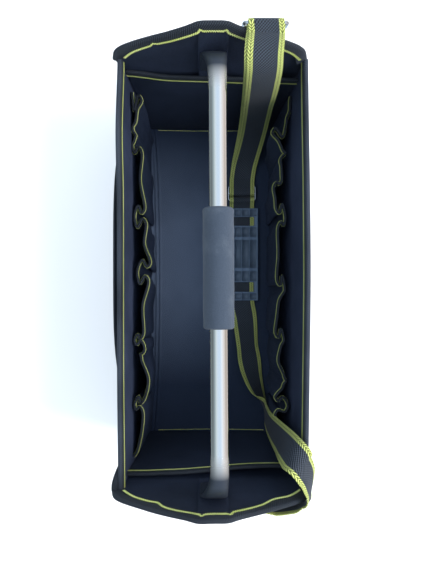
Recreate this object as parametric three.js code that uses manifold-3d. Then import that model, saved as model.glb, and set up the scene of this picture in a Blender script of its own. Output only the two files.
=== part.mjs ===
// Trapping bag: an open, soft-sided carry bag with bound edges, gathered pockets, a steel tube handle
// and a webbing shoulder strap. Millimetres. X runs across the bag, Y along it and Z up.
// The origin is the middle of the footprint, on the ground. Far is +Y, near is -Y, left is -X.

import * as THREE from 'three';
import { mergeVertices } from 'three/addons/utils/BufferGeometryUtils.js';
import Module from 'manifold-3d';

const wasm = await Module();
wasm.setup();

// Driving dimensions
const clearance = 0.3;
const floorLength = 480;
const floorWidth = 193;
const sideHeight = 231;
const peakHeight = 297;
const earHeight = 240;
const sideFlare = 10.5;
const endLean = 19;
const panelThickness = 3;
const baseThickness = 3;
const floorThickness = 2.5;
const floorLip = 5;
const pocketCloth = 1.6;

const bindingThickness = 1.2;
const bindingDepth = 11;
const bindingSlack = 0.25;
const pocketEdgeThickness = 0.8;
const pocketEdgeDepth = 8;

const endPocketHeight = sideHeight * 0.857;
const endPocketGape = 6.5;
const sidePocketHeight = 155;
const sidePocketBulge = 20;
const pocketSeamStandLeft = 4;
const pocketSeamStandRight = 7;

const tubeDiameter = 19;
const tubeHeight = 293;
const tubeLean = 5.2;
const tubeSkew = 1.2;
const tubeBend = tubeHeight * 0.13;
const bladeWidth = 29.8;
const bladeThickness = 3.2;
const bladeLength = tubeHeight * 0.113;
const bladeFoot = tubeHeight - tubeBend - bladeLength;
const rivetDiameter = 4.8;
const rivetHead = 10;
const rivetSpacing = 13;

const patchWidth = 33;
const patchAbovePocket = 4;
const patchFoot = endPocketHeight + patchAbovePocket;
const patchStandFar = 6.5;
const patchStandNear = 2.4;

const gripLength = 127;
const gripDiameter = 33;
const gripShift = 3.8;

const strapWidth = 38;
const strapThickness = 1.8;
const ringWire = 4;
const ringOpening = 42;
const ringBarSpacing = 22;
const tabLength = 28;
const layerShift = 3;
const farRingAcross = 0.574;
const farRingStand = 4.4;
const farRingDrop = 7;
const farRingLean = 14;
const nearRingAcross = 0.6;
const nearRingStand = 9;
const nearRingDrop = 6;
const nearRingTilt = 12;

const sliderLength = 24;
const sliderBar = 2.4;
const sliderThickness = 2.4;
const sliderPlace = 135;

const padLength = 143.6;
const padWidth = 50;
const padThickness = 7;
const padTunnel = 3;
const padEnd = 111.6;
const padPlace = 48.2;
const padWindowLength = 14.5;
const padWindowWidth = 39;
const padWindowFromFar = 20.5;
const padWindowFromNear = 21;

const outerPocketStart = -130;
const outerPocketEnd = 155;
const outerPocketFoot = 45;
const outerPocketHeight = sideHeight * 0.866;
const outerPocketGape = 8;

// Outward bow of each side wall's top at mid length
const sideBow = { left: 0.5, right: 3 };

// How far an end panel leans out: up is a share of peakHeight, out a share of endLean
const endProfile = [
  { up: 0.0, out: 0.0 },
  { up: 0.2, out: 0.24 },
  { up: 0.4, out: 0.42 },
  { up: 0.61, out: 0.5 },
  { up: 0.75, out: 0.55 },
  { up: 0.84, out: 0.63 },
  { up: 0.91, out: 0.76 },
  { up: 1.0, out: 1.0 },
];

// How far a side wall leans out: up is a share of sideHeight, out a share of sideFlare
const sideProfile = [
  { up: 0.0, out: 0.0 },
  { up: 0.3, out: 0.36 },
  { up: 0.6, out: 0.66 },
  { up: 1.0, out: 1.0 },
];

// Top edge of an end panel: across is a share of its half width, rise a share of ear to peak
const endRim = [
  { across: 0.0, rise: 1.0 },
  { across: 0.14, rise: 0.98 },
  { across: 0.24, rise: 0.87 },
  { across: 0.42, rise: 0.7 },
  { across: 0.63, rise: 0.53 },
  { across: 0.84, rise: 0.32 },
  { across: 0.94, rise: 0.17 },
  { across: 1.0, rise: 0.0 },
];

// How far each ear stands out past the wall below it, in mm
const earReach = { farLeft: 4.5, farRight: -3, nearLeft: 5.5, nearRight: -4.5 };

// Section of the floor: across is a share of its half width, lip a share of floorLip
const floorSection = [
  { across: -1.0, lip: 1.0 },
  { across: -0.965, lip: 0.45 },
  { across: -0.92, lip: 0.0 },
  { across: 0.92, lip: 0.0 },
  { across: 0.965, lip: 0.45 },
  { across: 1.0, lip: 1.0 },
];

// Side pockets from the far end to the near one. until is a share of the half length where the pocket
// ends, bulge a share of sidePocketBulge at its top edge
const pocketsLeft = [
  { until: 0.74, bulge: 0.28 },
  { until: 0.322, bulge: 0.48 },
  { until: 0.012, bulge: 0.75 },
  { until: -0.35, bulge: 0.5 },
  { until: -0.685, bulge: 0.55 },
  { until: -1.0, bulge: 0.27 },
];
const pocketsRight = [
  { until: 0.667, bulge: 0.35 },
  { until: 0.338, bulge: 0.5 },
  { until: -0.04, bulge: 0.58 },
  { until: -0.33, bulge: 0.6 },
  { until: -0.65, bulge: 0.42 },
  { until: -1.0, bulge: 0.4 },
];

// Share of a side pocket's bulge that is left at its foot, and the share of its length that each end takes
const pocketFootBulge = 0.55;
const pocketShoulder = 0.24;

// A flat handle end: turn is a share of the bend, flat a share of fully flat
const handleEnd = [
  { turn: 0.0, flat: 1.0 },
  { turn: 0.2, flat: 0.8 },
  { turn: 0.4, flat: 0.5 },
  { turn: 0.6, flat: 0.27 },
  { turn: 0.8, flat: 0.12 },
  { turn: 1.0, flat: 0.05 },
];

// Route of the doubled strap from the slider to the far ring. across is a share of half the floor's
// width, along of half its length, lean of endLean, up of peakHeight above the floor
const doubledRoute = [
  { across: 0.505, along: 0.655, lean: 0, up: 0.0095 },
  { across: 0.53, along: 0.735, lean: 0, up: 0.028 },
  { across: 0.575, along: 0.815, lean: 0, up: 0.095 },
  { across: 0.61, along: 0.88, lean: 0, up: 0.215 },
  { across: 0.615, along: 0.915, lean: 0, up: 0.38 },
  { across: 0.6, along: 0.915, lean: 0, up: 0.53 },
  { across: 0.583, along: 0.9, lean: 0, up: 0.68 },
  { across: 0.562, along: 0.885, lean: 0.1, up: 0.84 },
  { across: 0.552, along: 0.895, lean: 0.2, up: 0.935 },
  { across: 0.545, along: 0.92, lean: 0.4, up: 0.972 },
  { across: 0.556, along: 0.952, lean: 0.7, up: 0.975 },
  { across: 0.57, along: 0.984, lean: 0.85, up: 0.956 },
];

// Route of the single strap from the near ring to the shoulder pad, in the same shares.
// wideX, wideY and wideZ give the direction across the webbing
const singleRoute = [
  { across: 0.74, along: 1.012, lean: 1.45, up: 0.778, wideX: -0.05, wideY: 0.14, wideZ: 0.97 },
  { across: 0.87, along: 1.006, lean: 1.45, up: 0.787, wideX: -0.04, wideY: 0.15, wideZ: 0.98 },
  { across: 1.01, along: 0.993, lean: 1.45, up: 0.8, wideX: -0.1, wideY: 0.17, wideZ: 0.97 },
  { across: 1.104, along: 0.982, lean: 1.3, up: 0.809, wideX: -0.24, wideY: 0.22, wideZ: 0.94 },
  { across: 1.132, along: 0.965, lean: 1.0, up: 0.815, wideX: -0.25, wideY: 0.18, wideZ: 0.95 },
  { across: 1.13, along: 0.96, lean: 0.5, up: 0.82, wideX: -0.42, wideY: 0.02, wideZ: 0.9 },
  { across: 1.103, along: 0.928, lean: 0.25, up: 0.83, wideX: -0.56, wideY: -0.3, wideZ: 0.77 },
  { across: 1.02, along: 0.891, lean: 0, up: 0.839, wideX: -0.63, wideY: -0.49, wideZ: 0.6 },
  { across: 0.933, along: 0.852, lean: 0, up: 0.799, wideX: -0.6, wideY: -0.75, wideZ: 0 },
  { across: 0.86, along: 0.835, lean: 0, up: 0.63, wideX: -0.28, wideY: -0.85, wideZ: -0.42 },
  { across: 0.815, along: 0.833, lean: 0, up: 0.43, wideX: -0.05, wideY: -0.95, wideZ: -0.3 },
  { across: 0.812, along: 0.825, lean: 0, up: 0.26, wideX: 0, wideY: -0.85, wideZ: -0.5 },
  { across: 0.812, along: 0.795, lean: 0, up: 0.135, wideX: 0.1, wideY: -0.35, wideZ: -0.93 },
  { across: 0.745, along: 0.725, lean: 0, up: 0.078, wideX: 0.5, wideY: 0.05, wideZ: -0.86 },
  { across: 0.66, along: 0.61, lean: 0, up: 0.05, wideX: 0.8, wideY: 0.1, wideZ: -0.58 },
  { across: 0.62, along: 0.52, lean: 0, up: 0.037, wideX: 0.93, wideY: 0.05, wideZ: -0.36 },
  { across: 0.585, along: 0.42, lean: 0, up: 0.037, wideX: 0.88, wideY: 0, wideZ: -0.46 },
  { across: 0.545, along: 0.24, lean: 0, up: 0.015, wideX: 0.99, wideY: 0, wideZ: -0.12 },
];

// Where the strap dips through the slider's slot: past is a share of the slot, height of the dip
const sliderDip = [
  { past: 0.19, height: 0.96 },
  { past: 0.38, height: 0.42 },
  { past: 0.63, height: 0.08 },
  { past: 1.0, height: 0.0 },
];

// Materials
function cloth(colour) {
  return new THREE.MeshStandardMaterial({ color: colour, roughness: 0.92, metalness: 0 });
}
const twill = cloth(0x1f2733);
const twillDark = cloth(0x171d28);
const webbing = cloth(0x3a4350);
const strapCloth = cloth(0x444d5a);
const foam = cloth(0x4c5865);
const mouldedPlastic = new THREE.MeshStandardMaterial({ color: 0x48576a, roughness: 0.6, metalness: 0 });
const steel = new THREE.MeshStandardMaterial({ color: 0xc3c7cc, roughness: 0.25, metalness: 1 });
const chrome = new THREE.MeshStandardMaterial({ color: 0xd8dadd, roughness: 0.12, metalness: 1 });

const bag = new THREE.Group();

function addPiece(name, geometry, material, parent = bag) {
  const mesh = new THREE.Mesh(geometry, material);
  mesh.name = name;
  parent.add(mesh);
  return mesh;
}

// Shape tools

function curveThrough(rows, from, to) {
  const places = rows.map((row) => row[from]);
  const values = rows.map((row) => row[to]);
  const interpolant = new THREE.CubicInterpolant(places, values, 1);
  return (at) => interpolant.evaluate(at)[0];
}

function smoothStep(from, to, at) {
  return THREE.MathUtils.smoothstep(at, from, to);
}

function turnOutwards(geometry) {
  const place = geometry.attributes.position;
  const index = geometry.index.array;
  const [a, b, c] = [new THREE.Vector3(), new THREE.Vector3(), new THREE.Vector3()];
  let volume = 0;
  for (let t = 0; t < index.length; t += 3) {
    a.fromBufferAttribute(place, index[t]);
    b.fromBufferAttribute(place, index[t + 1]);
    c.fromBufferAttribute(place, index[t + 2]);
    volume += a.dot(b.cross(c));
  }
  if (volume < 0) {
    for (let t = 0; t < index.length; t += 3) {
      [index[t + 1], index[t + 2]] = [index[t + 2], index[t + 1]];
    }
  }
  return geometry;
}

// A closed body through rings of points. A ring runs up one side of the section and down the other.
function loft(rings, closed = false) {
  const count = rings[0].length;
  const index = [];
  const spans = closed ? rings.length : rings.length - 1;
  for (let r = 0; r < spans; r++) {
    const here = r * count;
    const next = ((r + 1) % rings.length) * count;
    for (let k = 0; k < count; k++) {
      const after = (k + 1) % count;
      index.push(here + k, next + k, next + after);
      index.push(here + k, next + after, here + after);
    }
  }
  if (!closed) {
    const last = (rings.length - 1) * count;
    for (let k = 0; k < count / 2 - 1; k++) {
      const [a, b, c, d] = [k, k + 1, count - 2 - k, count - 1 - k];
      index.push(a, b, c, a, c, d);
      index.push(last + a, last + c, last + b, last + a, last + d, last + c);
    }
  }
  const places = rings.flat().flatMap((point) => point.toArray());
  const geometry = new THREE.BufferGeometry();
  geometry.setAttribute('position', new THREE.Float32BufferAttribute(places, 3));
  geometry.setIndex(index);
  return turnOutwards(geometry);
}

function slopes(point, u, v) {
  const step = 1e-3;
  const [u0, u1] = [Math.max(0, u - step), Math.min(1, u + step)];
  const [v0, v1] = [Math.max(0, v - step), Math.min(1, v + step)];
  const alongU = point(u1, v).sub(point(u0, v)).normalize();
  const alongV = point(u, v1).sub(point(u, v0)).normalize();
  const normal = alongU.clone().cross(alongV).normalize();
  return { alongU, alongV, normal };
}

function evenly(count) {
  return Array.from({ length: count + 1 }, (_, i) => i / count);
}

// A sheet of even thickness about the surface point(u, v), with u and v from 0 to 1
function sheet(point, columns, heights, thickness) {
  const rings = [];
  for (let i = 0; i <= columns; i++) {
    const front = [];
    const back = [];
    for (const v of heights) {
      const u = i / columns;
      const offset = slopes(point, u, v).normal.multiplyScalar(thickness / 2);
      front.push(point(u, v).add(offset));
      back.unshift(point(u, v).sub(offset));
    }
    rings.push([...front, ...back]);
  }
  return loft(rings);
}

// An upside-down U section at one place: half is the inner half width, deep the length of its legs
function channelRing(origin, sideways, down, half, deep, wall) {
  const outer = half + wall;
  const section = [
    [-outer, deep],
    [-outer, -clearance - wall],
    [outer, -clearance - wall],
    [outer, deep],
    [half, deep],
    [half, -clearance],
    [-half, -clearance],
    [-half, deep],
  ];
  return section.map(([aside, below]) => origin.clone().addScaledVector(sideways, aside)
    .addScaledVector(down, below));
}

// Webbing folded over the top edge, v = 1, of a sheet of cloth
function bindTop(point, columns, thickness, wall, deep) {
  const half = thickness / 2 + clearance + bindingSlack;
  const rings = [];
  for (let i = 0; i <= columns; i++) {
    const u = i / columns;
    const { alongU, alongV, normal } = slopes(point, u, 1);
    const down = alongU.clone().cross(normal).normalize();
    if (down.dot(alongV) > 0) down.negate();
    rings.push(channelRing(point(u, 1), normal, down, half, deep, wall));
  }
  return loft(rings);
}

// A flat ribbon through stations, each with its place and the direction across the webbing
function ribbon(stations, width, thickness) {
  const rings = stations.map((station, i) => {
    const before = stations[Math.max(0, i - 1)].place;
    const after = stations[Math.min(stations.length - 1, i + 1)].place;
    const tangent = after.clone().sub(before).normalize();
    const wide = station.wide.clone().addScaledVector(tangent, -station.wide.dot(tangent)).normalize();
    const thick = tangent.clone().cross(wide).normalize();
    const corner = (a, b) => station.place.clone().addScaledVector(wide, a * width / 2)
      .addScaledVector(thick, b * thickness / 2);
    return [corner(-1, -1), corner(-1, 1), corner(1, 1), corner(1, -1)];
  });
  return loft(rings);
}

function toManifold(geometry) {
  const bare = geometry.clone();
  bare.deleteAttribute('normal');
  bare.deleteAttribute('uv');
  const merged = mergeVertices(bare);
  const vertProperties = new Float32Array(merged.attributes.position.array);
  const triVerts = new Uint32Array(merged.index.array);
  return new wasm.Manifold(new wasm.Mesh({ numProp: 3, vertProperties, triVerts }));
}

function fromManifold(solid) {
  const mesh = solid.getMesh();
  const geometry = new THREE.BufferGeometry();
  geometry.setAttribute('position', new THREE.Float32BufferAttribute(mesh.vertProperties, 3));
  geometry.setIndex([...mesh.triVerts]);
  return geometry;
}

function cut(geometry, tools) {
  const solid = tools.reduce((left, tool) => left.subtract(toManifold(tool)), toManifold(geometry));
  return fromManifold(solid);
}

// Surfaces of the bag, all worked out from the driving dimensions

const endOut = curveThrough(endProfile, 'up', 'out');
const sideOut = curveThrough(sideProfile, 'up', 'out');
const rimRise = curveThrough(endRim, 'across', 'rise');

const halfLength = floorLength / 2;
const halfWidth = floorWidth / 2;
const floorTop = baseThickness + clearance + floorThickness;
const wallFoot = baseThickness + clearance;
const wallTop = sideHeight - bindingThickness - clearance;
const pocketFoot = floorTop + clearance;
const sidePocketFoot = pocketFoot + floorLip * 0.72;
const sidePocketTop = sidePocketHeight - pocketEdgeThickness - clearance;
const signs = { left: -1, right: 1, near: -1, far: 1 };

function endInner(z) {
  return halfLength + endLean * endOut(z / peakHeight);
}

function bowAt(side, y, z) {
  return sideBow[side] * Math.cos(Math.PI * y / floorLength) * (z / sideHeight) ** 2;
}

function sideInner(side, y, z) {
  return halfWidth + sideFlare * sideOut(z / sideHeight) + bowAt(side, y, z);
}

// Half the width of an end panel at height z: it covers the side wall's end, then spreads into the ear
function endReach(end, side, z) {
  const ear = earReach[end + (side < 0 ? 'Left' : 'Right')];
  const wall = halfWidth + sideFlare * sideOut(Math.min(1, z / sideHeight)) + panelThickness;
  const spread = smoothStep(wallTop, earHeight, z);
  return wall + clearance + ear * spread;
}

function endTop(across) {
  const top = earHeight + (peakHeight - earHeight) * rimRise(Math.abs(across));
  return top - bindingThickness - clearance;
}

function endSurface(end) {
  return (u, v) => {
    const across = 2 * u - 1;
    const z = wallFoot + (endTop(across) - wallFoot) * v;
    const x = across * endReach(end, across, z);
    return new THREE.Vector3(x, signs[end] * (endInner(z) + panelThickness / 2), z);
  };
}

// trim holds the sheet's ends back from the end panels
function sideSurface(side, trim) {
  return (u, v) => {
    const z = wallFoot + (wallTop - wallFoot) * v;
    const y = (2 * u - 1) * (endInner(z) - trim);
    return new THREE.Vector3(signs[side] * (sideInner(side, y, z) + panelThickness / 2), y, z);
  };
}

// Bottom and floor

function panelOutline(halfX, halfY, corner) {
  const shape = new THREE.Shape();
  shape.moveTo(-halfX + corner, -halfY);
  shape.lineTo(halfX - corner, -halfY);
  shape.absarc(halfX - corner, -halfY + corner, corner, -Math.PI / 2, 0);
  shape.lineTo(halfX, halfY - corner);
  shape.absarc(halfX - corner, halfY - corner, corner, 0, Math.PI / 2);
  shape.lineTo(-halfX + corner, halfY);
  shape.absarc(-halfX + corner, halfY - corner, corner, Math.PI / 2, Math.PI);
  shape.lineTo(-halfX, -halfY + corner);
  shape.absarc(-halfX + corner, -halfY + corner, corner, Math.PI, Math.PI * 1.5);
  return shape;
}

function extruded(shape, depth, curveSegments) {
  return new THREE.ExtrudeGeometry(shape, { depth, bevelEnabled: false, curveSegments });
}

function addBottom() {
  const baseCorner = 4;
  const outline = panelOutline(halfWidth + panelThickness, halfLength + panelThickness, baseCorner);
  addPiece('base_panel', extruded(outline, baseThickness, 3), twillDark);

  const halfFloor = halfWidth - clearance;
  const floorEnd = halfLength - pocketCloth - pocketEdgeThickness - 4 * clearance;
  const rings = [-floorEnd, floorEnd].map((y) => {
    const top = floorSection.map(({ across, lip }) => new THREE.Vector3(
      across * halfFloor, y, floorTop + lip * floorLip));
    const under = floorSection.map(({ across, lip }) => new THREE.Vector3(
      across * halfFloor, y, wallFoot + lip * floorLip * 0.6)).reverse();
    return [...top, ...under];
  });
  addPiece('floor_panel', loft(rings), twillDark);
}

// Walls and their bindings

function addWalls() {
  const sideColumns = 16;
  const endColumns = 24;
  const endHeights = [0, 0.2, 0.4, 0.62, 0.8, 0.9, 0.96, 1];
  for (const side of ['left', 'right']) {
    const wall = sheet(sideSurface(side, clearance), sideColumns, evenly(5), panelThickness);
    addPiece(`side_wall_${side}`, wall, twill);
    const edge = sideSurface(side, 3 * clearance);
    const binding = bindTop(edge, sideColumns, panelThickness, bindingThickness, bindingDepth);
    addPiece(`side_rim_${side}`, binding, webbing);
  }
  for (const end of ['far', 'near']) {
    const surface = endSurface(end);
    const panel = sheet(surface, endColumns, endHeights, panelThickness);
    addPiece(`end_panel_${end}`, cut(panel, rivetTools(end)), twill);
    const binding = bindTop(surface, endColumns, panelThickness, bindingThickness, bindingDepth);
    addPiece(`end_rim_${end}`, binding, webbing);
  }
}

// Pockets across the ends

function endPocketSurface(end) {
  return (u, v) => {
    const across = 2 * u - 1;
    const z = pocketFoot + (endPocketHeight - pocketEdgeThickness - clearance - pocketFoot) * v;
    const gape = endPocketGape * v ** 1.5 * (1 - across ** 4);
    const y = endInner(z) - clearance - gape - pocketCloth / 2;
    const reach = halfWidth + sideFlare * sideOut(z / sideHeight) - 2 * clearance - pocketEdgeThickness;
    return new THREE.Vector3(across * reach, signs[end] * (y - pocketEdgeThickness - clearance), z);
  };
}

function addEndPockets() {
  const columns = 12;
  for (const end of ['far', 'near']) {
    const surface = endPocketSurface(end);
    addPiece(`end_pocket_${end}`, sheet(surface, columns, evenly(4), pocketCloth), twill);
    const edge = bindTop(surface, columns, pocketCloth, pocketEdgeThickness, bindingDepth);
    addPiece(`end_pocket_edge_${end}`, edge, webbing);
  }
}

// Gathered pockets along the sides

const pocketEnd = halfLength - 2 * pocketCloth - pocketEdgeThickness * 2 - 2 * clearance;

function pocketRows(side) {
  const rows = side === 'left' ? pocketsLeft : pocketsRight;
  let from = pocketEnd;
  return rows.map((row) => {
    const to = row.until * pocketEnd;
    const found = { from, to, bulge: row.bulge * sidePocketBulge };
    from = to;
    return found;
  });
}

// Distance from the side wall's inner face to the middle of the pocket cloth
function pocketStand(side, y, z) {
  const row = pocketRows(side).find((pocket) => y >= pocket.to - 1e-6) ?? pocketRows(side).at(-1);
  const along = (row.from - y) / (row.from - row.to);
  const hump = smoothStep(0, pocketShoulder, along) * smoothStep(0, pocketShoulder, 1 - along);
  const rise = (z - pocketFoot) / (sidePocketHeight - pocketFoot);
  const seamStand = side === 'left' ? pocketSeamStandLeft : pocketSeamStandRight;
  const swell = THREE.MathUtils.lerp(pocketFootBulge, 1, smoothStep(0, 1, rise));
  return clearance + pocketCloth / 2 + floorLip / 2 + (seamStand - floorLip / 2) * rise
    + row.bulge * hump * swell;
}

function pocketPoint(side, y, v) {
  const z = THREE.MathUtils.lerp(sidePocketFoot, sidePocketTop, v);
  return new THREE.Vector3(signs[side] * (sideInner(side, y, z) - pocketStand(side, y, z)), y, z);
}

function addSidePockets() {
  const columns = 6;
  for (const side of ['left', 'right']) {
    const rows = pocketRows(side);
    rows.forEach((row, i) => {
      const from = row.from - clearance / 2;
      const to = row.to + clearance / 2;
      const surface = (u, v) => pocketPoint(side, THREE.MathUtils.lerp(from, to, u), v);
      addPiece(`pocket_${side}_${i + 1}`, sheet(surface, columns, evenly(3), pocketCloth), twillDark);
    });
    const whole = (u, v) => {
      const i = Math.min(rows.length - 1, Math.floor(u * rows.length));
      return pocketPoint(side, THREE.MathUtils.lerp(rows[i].from, rows[i].to, u * rows.length - i), v);
    };
    const steps = columns * rows.length;
    const edge = bindTop(whole, steps, pocketCloth, pocketEdgeThickness, pocketEdgeDepth);
    addPiece(`pocket_edge_${side}`, edge, webbing);
  }
}

// Handle: patches, tube, rivets and grip

function patchStand(end) {
  return end === 'far' ? patchStandFar : patchStandNear;
}

// The tube's flat end lies against the patch; this is its outer face's distance from the middle
function bladeFace(end) {
  return endInner(bladeFoot) - patchStand(end) - clearance;
}

function addPatches() {
  const steps = 8;
  const patchTop = endTop(patchWidth / floorWidth) - bindingDepth - 4 * clearance;
  for (const end of ['far', 'near']) {
    const rings = [];
    for (let i = 0; i <= steps; i++) {
      const z = THREE.MathUtils.lerp(patchFoot, patchTop, i / steps);
      const inwards = new THREE.Vector3(0, -signs[end], 0);
      const stand = patchStand(end) - clearance - pocketCloth;
      const origin = new THREE.Vector3(0, signs[end] * (endInner(z) - clearance - stand), z);
      const across = new THREE.Vector3(1, 0, 0);
      const half = patchWidth / 2 - pocketCloth;
      rings.push(channelRing(origin, across, inwards.negate(), half, stand, pocketCloth - clearance));
    }
    addPiece(`handle_patch_${end}`, cut(loft(rings), rivetTools(end)), twill);
  }
}

function handleStations() {
  const flatAt = curveThrough(handleEnd, 'turn', 'flat');
  const bendSteps = 6;
  const stations = [];
  const endStations = (end) => {
    const sign = signs[end];
    const blade = bladeFace(end) - bladeThickness / 2;
    const rows = [{ y: blade, z: bladeFoot, turn: 0, dy: 0, dz: 1 }];
    for (let i = 0; i <= bendSteps; i++) {
      const angle = (i / bendSteps) * Math.PI / 2;
      rows.push({
        y: blade - tubeBend * (1 - Math.cos(angle)),
        z: tubeHeight - tubeBend * (1 - Math.sin(angle)),
        turn: i / bendSteps,
        dy: -Math.sin(angle),
        dz: Math.cos(angle),
      });
    }
    return rows.map((row) => ({
      place: new THREE.Vector3(
        (tubeLean - sign * tubeSkew) * smoothStep(0, 1, row.turn), sign * row.y, row.z),
      outwards: new THREE.Vector3(0, sign * row.dz, -row.dy),
      flat: flatAt(row.turn),
    }));
  };
  stations.push(...endStations('near'));
  stations.push(...endStations('far').reverse());
  return stations;
}

function addHandle() {
  const sides = 16;
  const rings = handleStations().map(({ place, outwards, flat }) => {
    const wide = THREE.MathUtils.lerp(tubeDiameter, bladeWidth, flat) / 2;
    const thick = THREE.MathUtils.lerp(tubeDiameter, bladeThickness, flat) / 2;
    const square = THREE.MathUtils.lerp(1, 0.45, flat);
    const ring = [];
    for (let k = 0; k < sides; k++) {
      const angle = ((k + 0.5) / sides) * 2 * Math.PI;
      const [c, s] = [Math.cos(angle), Math.sin(angle)];
      const across = Math.sign(c) * Math.abs(c) ** square * wide;
      const out = Math.sign(s) * Math.abs(s) ** square * thick;
      ring.push(place.clone().add(new THREE.Vector3(across, 0, 0)).addScaledVector(outwards, out));
    }
    return ring;
  });
  const tools = [...rivetTools('far'), ...rivetTools('near')];
  addPiece('handle_tube', cut(loft(rings), tools), steel);
}

function rivetHeights() {
  const middle = (bladeFoot + tubeHeight - tubeBend) / 2;
  return [middle - rivetSpacing / 2, middle + rivetSpacing / 2];
}

function cylinderAlongY(radius, from, to, z, sides) {
  const geometry = new THREE.CylinderGeometry(radius, radius, Math.abs(to - from), sides);
  geometry.translate(0, (from + to) / 2, z);
  return geometry;
}

// Holes through the flat end, the patch and the panel
function rivetTools(end) {
  const radius = rivetDiameter / 2 + clearance;
  const from = signs[end] * (bladeFace(end) - tubeDiameter);
  const to = signs[end] * (endInner(tubeHeight) + tubeDiameter);
  return rivetHeights().map((z) => cylinderAlongY(radius, from, to, z, 12));
}

function addRivets() {
  const headRise = 1.6;
  const profile = (length) => {
    const head = rivetHead / 2;
    const shank = rivetDiameter / 2;
    const points = [
      [0, -headRise],
      [head * 0.6, -headRise],
      [head, 0],
      [shank, 0],
      [shank, length],
      [head, length],
      [head * 0.6, length + headRise],
      [0, length + headRise],
    ];
    return points.map(([r, h]) => new THREE.Vector2(r, h));
  };
  for (const end of ['far', 'near']) {
    rivetHeights().forEach((z, i) => {
      const inner = bladeFace(end) - bladeThickness - clearance;
      const outer = endInner(z + rivetHead) + panelThickness + 2 * clearance;
      const geometry = new THREE.LatheGeometry(profile(outer - inner), 10);
      const mesh = addPiece(`handle_rivet_${end}_${i + 1}`, geometry, chrome);
      mesh.position.set(0, signs[end] * inner, z);
      if (end === 'near') mesh.rotation.x = Math.PI;
    });
  }
}

function addGrip() {
  const round = gripDiameter / 2;
  const bore = tubeDiameter / 2 + clearance + 0.4;
  const edge = (round - bore) * 0.8;
  const half = gripLength / 2;
  const rounded = [0, 30, 60, 90].map((turn) => {
    const angle = THREE.MathUtils.degToRad(turn);
    return [round - edge * (1 - Math.sin(angle)), half - edge * (1 - Math.cos(angle))];
  });
  const points = [
    [bore, -half],
    ...rounded.map(([r, h]) => [r, -h]),
    ...rounded.toReversed(),
    [bore, half],
    [bore, -half],
  ];
  const profile = points.map(([r, h]) => new THREE.Vector2(r, h));
  const mesh = addPiece('foam_grip', new THREE.LatheGeometry(profile, 16), foam);
  mesh.position.set(tubeLean, gripShift, tubeHeight);
  mesh.rotation.z = Math.atan2(tubeSkew, halfLength - tubeBend);
}

// Shoulder strap, its rings, tabs, slider and pad

const layerStep = strapThickness + clearance * 2;
const wrapRadius = ringWire / 2 + clearance * 2 + strapThickness / 2;

function farRing() {
  const place = halfLength + endLean + farRingStand;
  const lean = THREE.MathUtils.degToRad(farRingLean);
  return {
    bar: new THREE.Vector3(halfWidth * farRingAcross, place, peakHeight - farRingDrop),
    away: new THREE.Vector3(0, -Math.sin(lean), Math.cos(lean)),
    across: new THREE.Vector3(1, 0, 0),
    out: new THREE.Vector3(0, Math.cos(lean), Math.sin(lean)),
  };
}

function nearRing() {
  const place = endInner(earHeight) + panelThickness + bindingThickness + nearRingStand;
  const tilt = THREE.MathUtils.degToRad(nearRingTilt);
  return {
    bar: new THREE.Vector3(halfWidth * nearRingAcross, -place, earHeight - nearRingDrop),
    away: new THREE.Vector3(Math.cos(tilt), 0, Math.sin(tilt)),
    across: new THREE.Vector3(-Math.sin(tilt), 0, Math.cos(tilt)),
    out: new THREE.Vector3(0, -1, 0),
  };
}

// A rectangular ring of round wire. bar is the middle of the bar that the strap goes round
function addRing(name, ring) {
  const sides = 6;
  const cornerSteps = 3;
  const corner = 4;
  const halfAcross = (ringOpening + ringWire) / 2;
  const halfAway = ringBarSpacing / 2;
  const middle = ring.bar.clone().addScaledVector(ring.away, -halfAway);
  const rings = [];
  for (let quarter = 0; quarter < 4; quarter++) {
    const signA = quarter === 0 || quarter === 3 ? 1 : -1;
    const signB = quarter < 2 ? 1 : -1;
    for (let i = 0; i <= cornerSteps; i++) {
      const angle = (quarter + i / cornerSteps) * Math.PI / 2;
      const a = signA * (halfAcross - corner) + corner * Math.cos(angle);
      const b = signB * (halfAway - corner) + corner * Math.sin(angle);
      const facing = ring.across.clone().multiplyScalar(Math.cos(angle))
        .addScaledVector(ring.away, Math.sin(angle));
      const place = middle.clone().addScaledVector(ring.across, a).addScaledVector(ring.away, b);
      const points = [];
      for (let k = 0; k < sides; k++) {
        const turn = (k / sides) * 2 * Math.PI;
        points.push(place.clone().addScaledVector(facing, Math.cos(turn) * ringWire / 2)
          .addScaledVector(ring.out, Math.sin(turn) * ringWire / 2));
      }
      rings.push(points);
    }
  }
  addPiece(name, loft(rings, true), chrome);
}

// Stations round a bar, from one side of the plane to the other
function wrapStations(bar, towards, side, wide, radius) {
  const steps = 6;
  const stations = [];
  for (let i = 0; i <= steps; i++) {
    const angle = (i / steps) * Math.PI;
    const place = bar.clone().addScaledVector(side, Math.cos(angle) * radius)
      .addScaledVector(towards, Math.sin(angle) * radius);
    stations.push({ place, wide });
  }
  return stations;
}

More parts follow.
